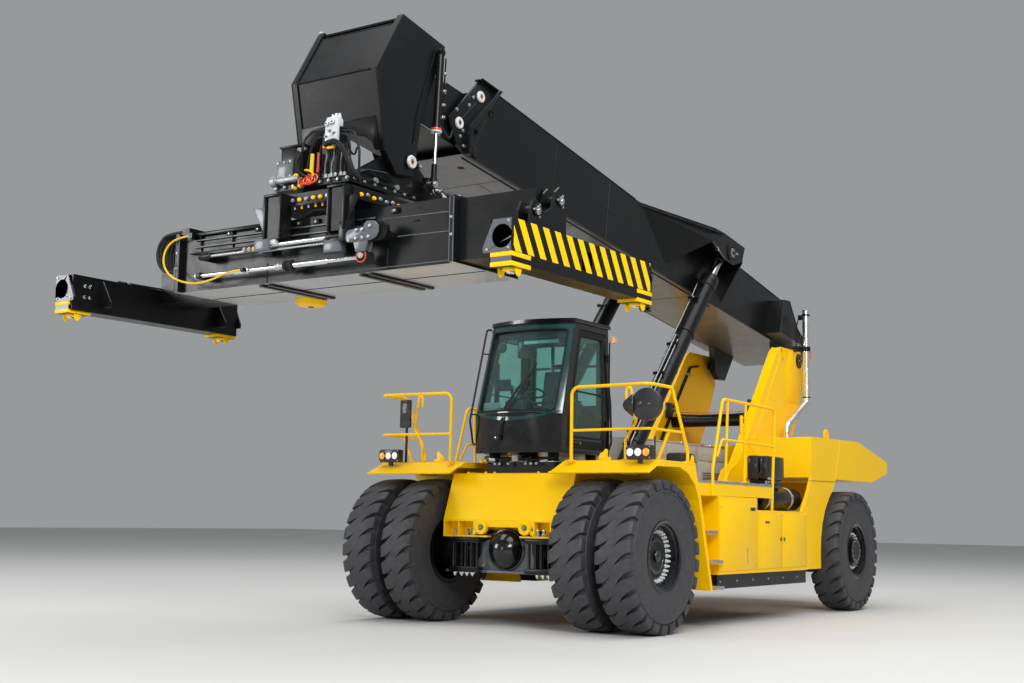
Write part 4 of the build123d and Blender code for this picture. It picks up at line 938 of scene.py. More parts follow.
def cab_inside():
    """Consoles, levers, headlining, screens and pillars seen through the glass."""
    inside = Pile("cab_inside")
    inside.box(PLASTIC, (-0.56, 0.56), (0.06, 1.08), (2.166, 2.18), 0.004)
    # Arm consoles with a rounded pad, a lever and switches.
    for side in (-1, 1):
        inside.box(PLASTIC, flank(side, 0.275, 0.41), (0.33, 0.9), (2.64, 2.79), 0.03)
        inside.box(SEAT_CLOTH, flank(side, 0.29, 0.395), (0.48, 0.88), (2.79, 2.83), 0.016)
        inside.box(PLASTIC, flank(side, 0.3, 0.385), (0.42, 0.7), (2.18, 2.645), 0.012)
        lever = at(side * 0.34, 0.385, 2.79)
        inside.turned(PLASTIC, ((0.046, 0), (0.04, 0.02), (0.018, 0.06), (0.014, 0.1)), lever, Z, 20)
        inside.turned(PLASTIC, ((0.016, 0.09), (0.024, 0.13), (0.028, 0.18), (0.022, 0.22), (0, 0.232)), lever,
            Z - Y * 0.2, 20)
        for n in range(4):
            inside.box(ZINC, flank(side, 0.3 + 0.022 * n, 0.316 + 0.022 * n), (0.345, 0.362), (2.79, 2.797), 0.002)
    # Side console with rounded shoulders left of the column, and the dash by the right pillar.
    inside.box(PLASTIC, (-0.545, -0.4), (0.12, 0.62), (2.19, 2.72), 0.04)
    inside.box(PLASTIC, (-0.23, 0.06), (0.0, 0.18), (2.64, 2.8), 0.05)
    inside.box(GREY, (-0.52, -0.27), (-0.02, -0.008), (2.655, 2.76), 0.01)
    for x in (-0.49, -0.3):
        inside.turned(PLASTIC, ((0.009, 0), (0.008, 0.005), (0, 0.006)), at(x, -0.02, 2.685), -Y, 14)
    inside.box(PLASTIC, (-0.56, -0.52), (0.26, 0.33), (2.72, 3.3), 0.008)
    inside.box(PLASTIC, (-0.5, -0.29), (0.215, 0.26), (2.93, 3.08), 0.012)
    # Headlining with its vents, radio shelf and sun blind.
    inside.box(PLASTIC, (-0.56, 0.56), (0.35, 1.09), (3.6, 3.69), 0.02)
    inside.box(PLASTIC, (-0.2, 0.52), (0.33, 0.5), (3.49, 3.6), 0.024)
    inside.box(PLASTIC, (-0.26, -0.08), (0.34, 0.42), (3.36, 3.6), 0.012)
    inside.box(ZINC, (-0.15, 0.38), (0.322, 0.332), (3.53, 3.575), 0.003)
    inside.turned(PLASTIC, ((0.062, 0), (0.066, 0.02), (0.058, 0.03), (0, 0.032)), at(-0.47, 0.32, 3.5), -Y, 28)
    inside.pipe(PLASTIC, [at(-0.47, 0.35, 3.5), at(-0.47, 0.4, 3.6)], 0.01, 0.02, 8)
    # Posts and bars of the windows behind the seat.
    for x in (-0.51, -0.18, 0.18, 0.51):
        inside.box(PLASTIC, (x - 0.022, x + 0.022), (1.062, 1.098), (2.18, 3.68), 0.008)
    inside.box(PLASTIC, (-0.54, 0.54), (1.06, 1.098), (2.72, 2.78), 0.008)
    inside.box(PLASTIC, (-0.54, 0.54), (1.062, 1.096), (3.28, 3.31), 0.006)
    inside.build("chassis")


def padding(name, x, y, z, lean, swell):
    """A stuffed pad: it starts a little small and is blown up as cloth, then smoothed."""
    shape = Pile(name)
    turn = (Matrix.Rotation(math.radians(lean), 3, "X"), at((x[0] + x[1]) / 2, sum(y) / 2, sum(z) / 2))
    shape.box(SEAT_CLOTH, x, y, z, 0.03, turn)
    thing = shape.build("chassis")
    bpy.context.view_layer.objects.active = thing
    thing.select_set(True)
    remesh = thing.modifiers.new("even", "REMESH")
    remesh.mode = "VOXEL"
    remesh.voxel_size = 0.009
    bpy.ops.object.modifier_apply(modifier="even")
    start = [v.co.copy() for v in thing.data.vertices]
    cloth = thing.modifiers.new("stuffing", "CLOTH")
    cloth.settings.use_pressure = True
    cloth.settings.uniform_pressure_force = 4.0
    cloth.settings.effector_weights.gravity = 0.0
    for step in range(1, 21):
        bpy.context.scene.frame_set(step)
    bpy.ops.object.modifier_apply(modifier="stuffing")
    for vertex, was in zip(thing.data.vertices, start):
        move = vertex.co - was
        if move.length > swell:
            vertex.co = was + move.normalized() * swell
    smooth = thing.modifiers.new("soft", "SUBSURF")
    smooth.levels = 1
    bpy.ops.object.modifier_apply(modifier="soft")
    bpy.context.scene.frame_set(1)
    thing.select_set(False)
    thing.data.polygons.foreach_set("use_smooth", [True] * len(thing.data.polygons))
    return thing


def operator_seat():
    """Cushion, back and headrest pads on a moulded pan, with the belt across."""
    cushion = padding("seat_cushion", (-0.23, 0.23), (0.4, 0.86), (2.64, 2.735), 2, 0.016)
    padding("seat_back_pad", (-0.215, 0.215), (0.86, 0.935), (2.76, 3.25), -11, 0.014)
    padding("head_pad", (-0.115, 0.115), (0.945, 1.005), (3.29, 3.33), 0, 0.006)
    pan = Pile("seat_pan")
    pan.box(PLASTIC, (-0.245, 0.245), (0.395, 0.89), (2.602, 2.65), 0.018)
    pan.box(PLASTIC, (-0.235, 0.235), (0.935, 0.968), (2.72, 3.22), 0.014,
        (Matrix.Rotation(math.radians(-11), 3, "X"), at(0, 0.95, 2.97)))
    pan.box(PLASTIC, (-0.15, 0.15), (0.51, 0.79), (2.168, 2.36), 0.02)
    for level in range(5):
        z = 2.38 + 0.048 * level
        pan.box(RUBBER_SEAL, (-0.158, 0.158), (0.502, 0.798), (z - 0.016, z + 0.016), 0.014)
    for x in (-0.05, 0.05):
        pan.rod(CHROME, at(x, 0.972, 3.2), at(x, 0.985, 3.3), 0.006)
    pan.pipe(RUBBER_SEAL, [at(0.242, 0.84, 2.74), at(0.13, 0.56, 2.79), at(-0.11, 0.56, 2.792),
        at(-0.242, 0.84, 2.74)], 0.012, 0.05, 8)
    # The small red block by the belt takes the red lens's glow: a painted glow, though it is no lamp.
    pan.box(RED_LENS, (-0.235, -0.2), (0.72, 0.77), (2.745, 2.79), 0.006)
    pan.build("chassis")
    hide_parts("seat")


cab_outside()
for side, hand in SIDES:
    door_trim(side, hand)
steering_wheel()
cab_inside()
operator_seat()


def under_cab():
    """Rubber mounts, pipes and fittings in the gap between the cab and its stand."""
    gap = Pile("cab_mounts")
    for x, y in ((-0.44, 0.13), (0.44, 0.13), (-0.44, 1.03), (0.44, 1.03), (0.0, 0.13)):
        foot = at(x, y, 2.01)
        gap.turned(ZINC, ((0.085, 0), (0.085, 0.008), (0.066, 0.01)), foot, Z, 28)
        gap.turned(RUBBER_SEAL, ((0.064, 0.01), (0.074, 0.026), (0.066, 0.044), (0.074, 0.062), (0.066, 0.08),
            (0.074, 0.096), (0.066, 0.108)), foot, Z, 28)
        gap.bolts(circle_of(foot + Z * 0.008, Z, 0.076, 4, 0.4), Z, 0.006)
    for n, x in enumerate((-0.34, -0.27, -0.14, 0.12, 0.2, 0.28)):
        finish = (HOSE, CHROME, HOSE, ZINC, HOSE, HOSE)[n]
        gap.pipe(finish, [at(x, -0.01, 1.985), at(x, 0.02, 2.06), at(x * 0.9, 0.3, 2.075)], 0.013, 0.04, 10)
        gap.turned(ZINC, ((0.02, 0), (0.02, 0.026), (0.014, 0.03)), at(x, -0.008, 1.975), Z, 6)
    gap.box(GREY, (-0.075, 0.015), (-0.03, 0.06), (2.016, 2.1), 0.008)
    gap.box(ZINC, (-0.42, -0.33), (-0.03, 0.01), (2.02, 2.06), 0.004)
    gap.pipe(HOSE, [at(-0.52, 0.02, 2.03), at(-0.2, -0.005, 2.05), at(0.25, 0.0, 2.035), at(0.53, 0.03, 2.06)], 0.012,
        0.1, 8)
    for x in (-0.56, -0.5):
        gap.turned(YELLOW, ((0.024, 0), (0.026, 0.03), (0.016, 0.045), (0, 0.048)), at(x, 0.01, 2.01), Z, 18)
    gap.build("chassis")


under_cab()

# ------------------------------------------------------------------ rails, lamps and mirrors
def rail_foot(pile, place, finish=None):
    """The welded foot plate of a rail, with two bolts."""
    pile.box(finish or YELLOW, (place[0] - 0.045, place[0] + 0.045), (place[1] - 0.06, place[1] + 0.06),
        (place[2], place[2] + 0.012), 0.003)
    for shift in (-0.042, 0.042):
        pile.bolt(at(place[0], place[1] + shift, place[2] + 0.012), Z, 0.007)


def side_fittings(side, hand):
    """Rail feet, the hooked grab rail, brackets, lamp lenses and tread grip on one side."""
    trim = Pile("side_fittings_" + hand)
    for place in ((0.9, -0.2, 2.004), (2.0, 0.69, 2.01), (1.845, 0.23, 2.01), (1.958, 1.85, 1.82),
            (1.958, 2.43, 1.82), (0.905, 0.4, 2.01)):
        rail_foot(trim, (side * place[0], place[1], place[2]))
    hook = [at(side * x, 0.02, z) for x, z in ((1.52, 2.01), (1.518, 2.257), (1.662, 2.472), (1.59, 2.889),
        (1.53, 2.88), (1.529, 2.744))]
    trim.pipe(YELLOW, hook, 0.017, 0.05, 12)
    rail_foot(trim, (side * 1.52, 0.02, 2.01))
    trim.rod(YELLOW, at(side * 1.966, 2.33, 2.46), at(side * 1.966, 2.33, 2.7), 0.023, 16, 0.008)
    for z in (2.49, 2.67):
        trim.rod(YELLOW, at(side * 1.966, 2.33, z), at(side * 1.976, 2.43, z), 0.008, 10)
    # Rounded bracket with a slot, standing on the fender beside the cab.
    bracket = [(-0.085, 0), (0.085, 0), (0.085, 0.045), (0.04, 0.05), (0.045, 0.135), (0.01, 0.15), (-0.02, 0.11),
        (-0.06, 0.095), (-0.085, 0.05)]
    trim.prism(YELLOW, bracket, at(side * 1.24, 0.02, 2.01), X * side, Z, 0.012, 0.004)
    trim.prism(YELLOW, [(-0.05, 0), (0.05, 0), (0.03, 0.1), (-0.01, 0.115), (-0.05, 0.05)],
        at(side * 1.9, 1.02, 2.005), Y, Z, 0.012 * side, 0.003)
    # Lamps: black bezels with domed lenses; the outer one is amber.
    trim.box(PLASTIC, flank(side, 1.682, 2.018), (-0.272, -0.168), (2.012, 2.178), 0.016)
    for x, glass in ((1.745, WHITE_LENS), (1.85, WHITE_LENS), (1.955, AMBER_LENS)):
        lamp = at(side * x, -0.272, 2.095)
        trim.turned(PLASTIC, ((0.054, 0), (0.054, 0.012), (0.05, 0.015), (0.047, 0.01), (0.047, 0)), lamp, -Y, 36)
        trim.turned(glass, ((0.046, 0.008), (0.04, 0.014), (0.022, 0.019), (0, 0.02)), lamp, -Y, 32)
    for x in (1.7, 2.0):
        for z in (2.03, 2.16):
            trim.bolt(at(side * x, -0.272, z), -Y, 0.004)
    # Anti-slip edge of the deck and grip strips of the steps.
    trim.box(ZINC, flank(side, 1.972, 1.984), (1.01, 3.29), (1.786, 1.822), 0.002)
    for n in range(15):
        y = 0.92 + 0.16 * n
        trim.box(ZINC, flank(side, 1.0, 1.93), (y, y + 0.018), (1.82, 1.826), 0.002)
    for x_end, y, z in ((2.06, 1.26, 0.83), (2.075, 1.3, 0.51), (1.99, 1.26, 1.19)):
        trim.box(ZINC, flank(side, 1.655, x_end + 0.003), (y - 0.004, y + 0.03), (z - 0.034, z + 0.004), 0.002)
        trim.box(ZINC, flank(side, x_end - 0.012, x_end + 0.004), (y, 1.56), (z - 0.036, z + 0.004), 0.002)
        for n in range(9):
            trim.box(ZINC, flank(side, 1.68 + 0.042 * n, 1.692 + 0.042 * n), (y + 0.03, 1.555), (z, z + 0.006), 0.001)
    trim.build("chassis")


def mirrors():
    """The round mirror on the left rail and the square one on its pole."""
    trim = Pile("mirrors")
    middle = at(2.0, -0.345, 2.64)
    trim.turned(PLASTIC, ((0.19, 0.0), (0.194, 0.01), (0.19, 0.022), (0.15, 0.042), (0.08, 0.062), (0.03, 0.07),
        (0, 0.071)), middle, -Y, 48)
    trim.turned(CHROME, ((0, 0.0), (0.176, 0.002), (0.184, -0.004)), middle + Y * 0.052, Y, 48)
    # The second, cone-backed mirror beside it looks down the wheels.
    cone = at(1.8, -0.3, 2.64)
    trim.turned(PLASTIC, ((0.13, 0.0), (0.132, 0.012), (0.095, 0.055), (0.045, 0.11), (0, 0.125)), cone, -X - Y * 0.5,
        40)
    trim.turned(CHROME, ((0, 0.004), (0.122, 0.0)), cone, X + Y * 0.5, 40)
    trim.pipe(BLACK, [at(1.8, -0.29, 2.64), at(1.9, -0.25, 2.64), at(1.985, -0.285, 2.64)], 0.011, 0.03, 10)
    for z in (2.6, 2.68):
        trim.turned(ZINC, ((0.03, -0.022), (0.03, 0.022)), at(1.99, -0.272, z), Z, 20)
        trim.bolt(at(1.99, -0.296, z), -Y, 0.005)
    trim.box(PLASTIC, (-1.84, -1.66), (-0.076, -0.04), (2.47, 2.84), 0.016)
    trim.box(CHROME, (-1.825, -1.675), (-0.04, -0.037), (2.49, 2.82), 0.002)
    for z in (2.55, 2.75):
        trim.box(ZINC, (-1.772, -1.728), (-0.062, -0.005), (z - 0.02, z + 0.02), 0.004)
    rail_foot(trim, (-1.75, -0.03, 2.006), BLACK)
    trim.pipe(PLASTIC, [at(1.3, 1.18, 2.02), at(1.3, 1.18, 2.38)], 0.01, 0.02, 10)
    trim.build("chassis")


for side, hand in SIDES:
    side_fittings(side, hand)
mirrors()

# ------------------------------------------------------------------ tanks, cabinets and hoods
def tanks():
    """Drum tanks in their straps, the battery boxes and the valves below them, both sides."""
    dress = Pile("tanks_and_boxes")
    for side in (-1, 1):
        foot = at(side * 1.64, 3.42, 1.645)
        dress.turned(BLACK, ((0, 0.01), (0.12, 0.0), (0.15, 0.006), (0.16, 0.024), (0.16, 0.66), (0.163, 0.664),
            (0.163, 0.69), (0.16, 0.694), (0.16, 1.356), (0.15, 1.374), (0.12, 1.38), (0, 1.37)), foot, Y, 48)
        for y in (3.6, 4.4):
            dress.turned(ZINC, ((0.164, y - 3.424), (0.168, y - 3.42), (0.168, y - 3.36), (0.164, y - 3.356)), foot,
                Y, 48)
            dress.box(BLACK, flank(side, 1.56, 1.72), (y, y + 0.06), (1.471, 1.53), 0.006)
            dress.bolt(at(side * 1.805, y + 0.03, 1.69), X * side, 0.008)
        dress.turned(CHROME, ((0.034, 0), (0.034, 0.022), (0.028, 0.03), (0, 0.031)), at(side * 1.64, 3.85, 1.803), Z,
            28)
        dress.turned(BLACK, ((0.02, 0), (0.02, 0.012), (0, 0.014)), at(side * 1.64, 3.411, 1.645), -Y, 20)
        # Boxes: (x, y, z) spans and how far their edges are rounded.
        for x, y, z, edge in (((1.3, 1.56), (1.45, 1.83), (1.821, 2.18), 0.045),
                ((1.48, 1.66), (3.56, 4.16), (1.9, 2.24), 0.035), ((1.672, 1.8), (3.56, 4.16), (1.9, 2.232), 0.03),
                ((1.5, 1.78), (3.62, 4.1), (1.79, 1.901), 0.01)):
            dress.box(PLASTIC, flank(side, x[0], x[1]), y, z, edge)
        dress.box(PLASTIC, flank(side, 1.292, 1.568), (1.442, 1.838), (2.06, 2.078), 0.006)
        for n, y in enumerate((3.575, 3.64, 3.705, 3.77)):
            valve = at(side * (1.77 + 0.006 * n), y, 1.83)
            dress.turned(ZINC if n % 2 else CHROME, ((0.026, 0), (0.026, 0.03), (0.018, 0.034), (0.018, 0.054),
                (0, 0.056)), valve, Z, 20)
            dress.pipe(HOSE, [valve + X * side * 0.01 - Z * 0.03, valve + X * side * 0.05 + Z * 0.02,
                valve + X * side * 0.03 + Y * 0.25 + Z * 0.01], 0.009, 0.03, 8)
        dress.box(CHROME, flank(side, 1.778, 1.812), (3.57, 3.76), (1.9, 1.935), 0.006)
        dress.pipe(HOSE, [at(side * 1.6, 3.5, 1.86), at(side * 1.7, 3.42, 1.9), at(side * 1.74, 3.46, 2.0),
            at(side * 1.7, 3.58, 2.05)], 0.014, 0.05, 10)
    dress.build("chassis", ("side_tanks",))


def panel(pile, finish, side, x, y, z, edge=0.005, thick=0.006):
    """A sheet panel fixed to an upright side."""
    pile.box(finish, flank(side, x, x + thick), y, z, edge)


def cabinets():
    """Doors with their seams, latches, handles, reflectors, and a row of bolts along the sills."""
    doors = Pile("cabinet_doors")
    for side in (-1, 1):
        for y in ((2.83, 3.6), (3.63, 4.48)):
            panel(doors, YELLOW, side, 1.98, y, (0.7, 1.425), 0.006, 0.012)
        for y in (3.56, 3.668):
            doors.turned(BLACK, ((0.026, 0), (0.026, 0.004), (0.018, 0.006), (0, 0.006)), at(side * 1.992, y, 1.085),
                X * side, 24)
        doors.box(PLASTIC, flank(side, 1.991, 1.999), (3.03, 3.16), (1.3, 1.326), 0.004)
        # The amber reflector takes the lamp lens's glow: a painted glow, though it is no lamp.
        doors.box(AMBER_LENS, flank(side, 1.991, 1.996), (4.38, 4.45), (0.74, 0.77), 0.002)
        panel(doors, YELLOW, side, 1.98, (1.625, 2.775), (0.69, 1.6), 0.006, 0.008)
        doors.box(PLASTIC, flank(side, 1.987, 1.997), (2.56, 2.7), (1.46, 1.5), 0.004)
        for z in (0.76, 1.5):
            for y in (1.665, 2.735):
                doors.bolt(at(side * 1.988, y, z), X * side, 0.007)
        for y in (1.7, 2.2, 2.7, 3.2, 3.7, 4.2):
            doors.bolt(at(side * 1.95, y, 0.56), X * side, 0.008)
        for y in (2.86, 3.56, 3.66, 4.44):
            doors.rod(YELLOW, at(side * 1.988, y, 1.428), at(side * 1.988, y + 0.06, 1.428), 0.009, 12)
        # Filler cap and sight tube on the forward tank.
        doors.turned(BLACK, ((0.055, 0), (0.055, 0.018), (0.046, 0.026), (0, 0.028)), at(side * 1.7, 1.8, 1.822), Z, 30)
        doors.rod(CHROME, at(side * 1.992, 2.45, 0.78), at(side * 1.992, 2.45, 0.98), 0.007, 12)
    doors.build("chassis")


def hood():
    """Panel seams, hinges, latches, grab handles and louvres of the service hood."""
    dress = Pile("hood_trim")
    for side in (-1, 1):
        for y in ((1.925, 2.88), (2.9, 3.86), (3.88, 4.815)):
            panel(dress, GREY, side, 0.565, y, (2.195, 2.4), 0.004, 0.008)
            panel(dress, GREY, side, 0.565, y, (1.64, 2.178), 0.004, 0.008)
            dress.box(ZINC, flank(side, 0.573, 0.582), (y[0] + 0.4, y[0] + 0.47), (2.186, 2.206), 0.003)
        dress.box(GREY, flank(side, 0.555, 0.58), (1.898, 4.842), (2.404, 2.424), 0.004)
        for y, finish in ((2.15, CHROME), (2.75, BLACK), (3.35, CHROME), (3.95, ORANGE), (4.3, CHROME), (4.62, BLACK)):
            dress.box(finish, flank(side, 0.56, 0.592), (y, y + 0.13), (2.42, 2.436), 0.004)
        for n in range(9):
            z = 1.72 + 0.036 * n
            dress.box(PLATE_GREY, flank(side, 0.573, 0.579), (4.02, 4.64), (z, z + 0.016), 0.002)
    for n in range(7):
        y = 2.15 + 0.38 * n
        dress.pipe(PLASTIC, [at(-0.12, y, 2.421), at(-0.12, y, 2.455), at(0.12, y, 2.455), at(0.12, y, 2.421)], 0.008,
            0.02, 8)
    dress.build("chassis")


tanks()
cabinets()
hood()

# ------------------------------------------------------------------ towers, rear bodies and exhaust
def towers():
    """Edge beads, pin caps, hoses and sensor boxes on the boom towers."""
    trim = Pile("tower_trim")
    pivot = (6.97, 3.95)
    for side in (-1, 1):
        cap = at(side * 0.896, *pivot)
        trim.turned(BLACK, ((0.118, -0.012), (0.118, 0.004), (0.108, 0.01), (0.084, 0.01)), cap, X * side, 40)
        trim.turned(BRASS, ((0.096, 0.01), (0.096, 0.016), (0.088, 0.018), (0.084, 0.012)), cap, X * side, 40)
        trim.turned(BLACK, ((0.086, 0), (0.086, 0.014), (0.076, 0.022), (0, 0.022)), cap, X * side, 40)
        trim.bolts(circle_of(cap + X * side * 0.02, X * side, 0.052, 3), X * side, 0.01)
        # Reinforcing plate round the pin and along the front flange.
        plate = [(6.64, 4.092), (7.062, 4.092), (7.195, 3.65), (7.0, 3.25), (6.56, 3.25), (6.42, 3.72)]
        trim.prism(YELLOW, plate, at(side * 0.8745, 0, 0), Y, Z, 0.01 * side, 0.002)
        fold = [(4.96, 2.25), (6.18, 3.88), (6.2, 4.095)]
        trim.pipe(YELLOW, [at(side * 0.874, y, z) for y, z in fold], 0.008, 0.03, 8)
        line = [(4.0, 1.6), (4.31, 2.06), (4.585, 2.17), (4.929, 2.565), (6.105, 4.02), (6.235, 4.105), (7.07, 4.105)]
        for x in (0.738, 0.872):
            trim.pipe(YELLOW, [at(side * x, y - 0.001, z) for y, z in line], 0.007, 0.04, 8)
        for x, y, z in ((0.86, 6.29, 4.06), (0.86, 6.33, 3.92)):
            trim.turned(ORANGE, ((0.026, 0), (0.026, 0.006), (0.016, 0.008), (0.016, 0)),
                at(side * x, y, z) + X * side * 0.012, X * side, 20)
        # Two pipes clipped along the inner face.
        for shift, radius in ((0.0, 0.015), (0.06, 0.011)):
            run = [at(side * 0.722, y + shift, z) for y, z in ((4.7, 2.0), (5.1, 2.5), (6.2, 3.85), (6.5, 3.9))]
            trim.pipe(HOSE, run, radius, 0.1, 10)
        for y, z in ((5.05, 2.44), (5.6, 3.11), (6.1, 3.73)):
            trim.box(ZINC, flank(side, 0.7, 0.736), (y - 0.04, y + 0.11), (z - 0.02, z + 0.02), 0.003)
        trim.box(PLASTIC, flank(side, 0.69, 0.735), (5.35, 5.55), (2.95, 3.2), 0.01)
    # Cross tie: brackets and the loom that hangs on it.
    trim.pipe(HOSE, [at(-0.72, 5.7, 3.02), at(-0.25, 5.6, 2.99), at(0.3, 5.6, 2.99), at(0.72, 5.7, 3.02)], 0.014, 0.1,
        8)
    trim.pipe(ORANGE, [at(-0.72, 5.74, 3.06), at(0.0, 5.66, 3.03), at(0.72, 5.74, 3.06)], 0.006, 0.1, 6)
    trim.build("chassis")
    paint_faces("towers", BLACK, x=(-0.72, 0.72))


def rear():
    """Painted shade along the panel seams, edge folds, tail lamps, grille and hitch at the back, and clamps of the
    exhaust pipe.
    """
    trim = Pile("rear_trim")
    for side in (-1, 1):
        # Painted shade: a thin dark yellow bead along the panel seam stands for the shadow in its gap.
        seam = [at(side * 1.9015, y, z) for y, z in ((4.56, 1.925), (5.2, 1.93), (5.84, 1.94))]
        trim.pipe(GAP_SHADOW, seam, 0.004, 0.01, 6)
        fold = [at(side * 1.9012, 5.862, 1.96), at(side * 1.9012, 6.1, 2.588)]
        trim.pipe(YELLOW, fold, 0.004, 0.01, 6)
        edge = [(4.546, 0.655), (4.546, 1.472), (4.812, 1.804), (4.906, 1.98)]
        trim.pipe(YELLOW, [at(side * 1.899, y, z) for y, z in edge], 0.008, 0.03, 8)
        arch = [(5.24, 0.655), (5.236, 0.9), (5.256, 1.1), (5.316, 1.3), (5.426, 1.5), (5.63, 1.718), (5.78, 1.833),
            (5.88, 1.972)]
        trim.pipe(YELLOW, [at(side * 1.894, y, z) for y, z in arch], 0.009, 0.05, 8)
        # Tail lamp cluster in its guard.
        trim.box(BLACK, flank(side, 1.25, 1.64), (8.249, 8.268), (2.2, 2.33), 0.008)
        for x, glass in ((1.32, WHITE_LENS), (1.44, RED_LENS), (1.56, AMBER_LENS)):
            trim.turned(glass, ((0.046, 0), (0.042, 0.01), (0.022, 0.016), (0, 0.017)), at(side * x, 8.266, 2.265), Y,
                30)
            trim.turned(PLASTIC, ((0.054, 0), (0.054, 0.01), (0.047, 0.012)), at(side * x, 8.266, 2.265), Y, 30)
        for x in (0.1, 0.6):
            trim.box(BLACK, flank(side, x, x + 0.015), (8.249, 8.262), (1.3, 2.1), 0.003)
        trim.bolts([at(side * 1.8, y, 2.56) for y in (5.2, 5.8, 6.4)], X * side + Z * 0.2, 0.007)
        for y in (5.05, 5.7, 6.35):
            trim.box(YELLOW, flank(side, 1.2, 1.26), (y, y + 0.12), (2.578, 2.602), 0.004)
    # Radiator grille of slats in the middle of the counterweight.
    for n in range(22):
        z = 1.32 + 0.036 * n
        trim.box(BLACK, (-0.6, 0.6), (8.249, 8.259), (z, z + 0.016), 0.002)
    trim.box(BLACK, (-0.62, 0.62), (8.249, 8.265), (2.1, 2.118), 0.003)
    trim.box(BLACK, (-0.62, 0.62), (8.249, 8.265), (1.284, 1.302), 0.003)
    for x in (-0.09, 0.06):
        trim.prism(YELLOW, [(0, 0), (0.13, 0.02), (0.13, 0.12), (0, 0.14)], at(x, 8.12, 1.02), Y, Z, 0.03, 0.004)
    trim.rod(STEEL, at(-0.15, 8.2, 1.09), at(0.15, 8.2, 1.09), 0.018, 18)
    # Exhaust: clamp, upper bracket, weld rings and heat guard.
    stack = at(1.09, 6.79, 0)
    for z, tall in ((4.08, 0.08), (4.66, 0.03), (3.32, 0.02)):
        trim.turned(BLACK, ((0.056, 0), (0.068, 0.004), (0.068, tall - 0.004), (0.056, tall)), stack + Z * z, Z, 36)
    trim.turned(CHROME, ((0.056, 0), (0.059, 0.006), (0.059, 0.014), (0.054, 0.016), (0.046, 0.008), (0.046, -0.06)),
        stack + Z * 4.744, Z, 36)
    trim.box(BLACK, (0.875, 1.05), (6.77, 6.8), (4.085, 4.15), 0.006)
    trim.box(BLACK, (0.975, 1.055), (6.73, 6.78), (4.6, 4.68), 0.008)
    trim.pipe(BLACK, [at(0.93, 6.76, 4.15), at(0.95, 6.74, 4.5), at(0.985, 6.75, 4.64)], 0.01, 0.05, 8)
    trim.box(ORANGE, (1.03, 1.15), (6.84, 6.852), (3.96, 4.08), 0.004)
    trim.turned(BLACK, ((0.11, 0), (0.11, 0.012), (0.07, 0.03), (0.057, 0.032)), at(1.09, 5.95, 2.602), Z, 36)
    trim.build("chassis")


towers()
rear()

# The tank rail and the frame below the cabinets are black; the two nearer the ground catch the light least.
paint_faces("side_cabinets", BLACK, z=(0.4, 0.66))

# ------------------------------------------------------------------ boom
BOOM_TILT = math.radians(7.45)
BOOM_FOOT = (6.97, 3.95)
# The lift cylinder's pin, along the boom and square to it.
LIFT_PIN = (2.835, 0.99)
FORWARD = Vector((0, -math.cos(BOOM_TILT), math.sin(BOOM_TILT)))
UPWARD = Vector((0, math.sin(BOOM_TILT), math.cos(BOOM_TILT)))


def on_boom(x, s, t):
    """A place on the boom: across, along it from its pivot, and square to it."""
    return at(x, *BOOM_FOOT) + FORWARD * s + UPWARD * t


def ringed_pin(pile, place, out, radius):
    """A pin's face: a bright ring round it and a greased centre."""
    pile.turned(SILVER, ((radius * 1.3, 0), (radius * 1.3, 0.016), (radius * 1.18, 0.024), (radius * 0.62, 0.024),
        (radius * 0.56, 0.014)), place, out, 36)
    pile.turned(BRASS, ((0, 0.022), (radius * 0.42, 0.022), (radius * 0.5, 0.014), (radius * 0.74, 0.014)), place,
        out, 28)
    pile.turned(BLACK, ((0, 0.025), (0.01, 0.025), (0.011, 0.021)), place, out, 16)


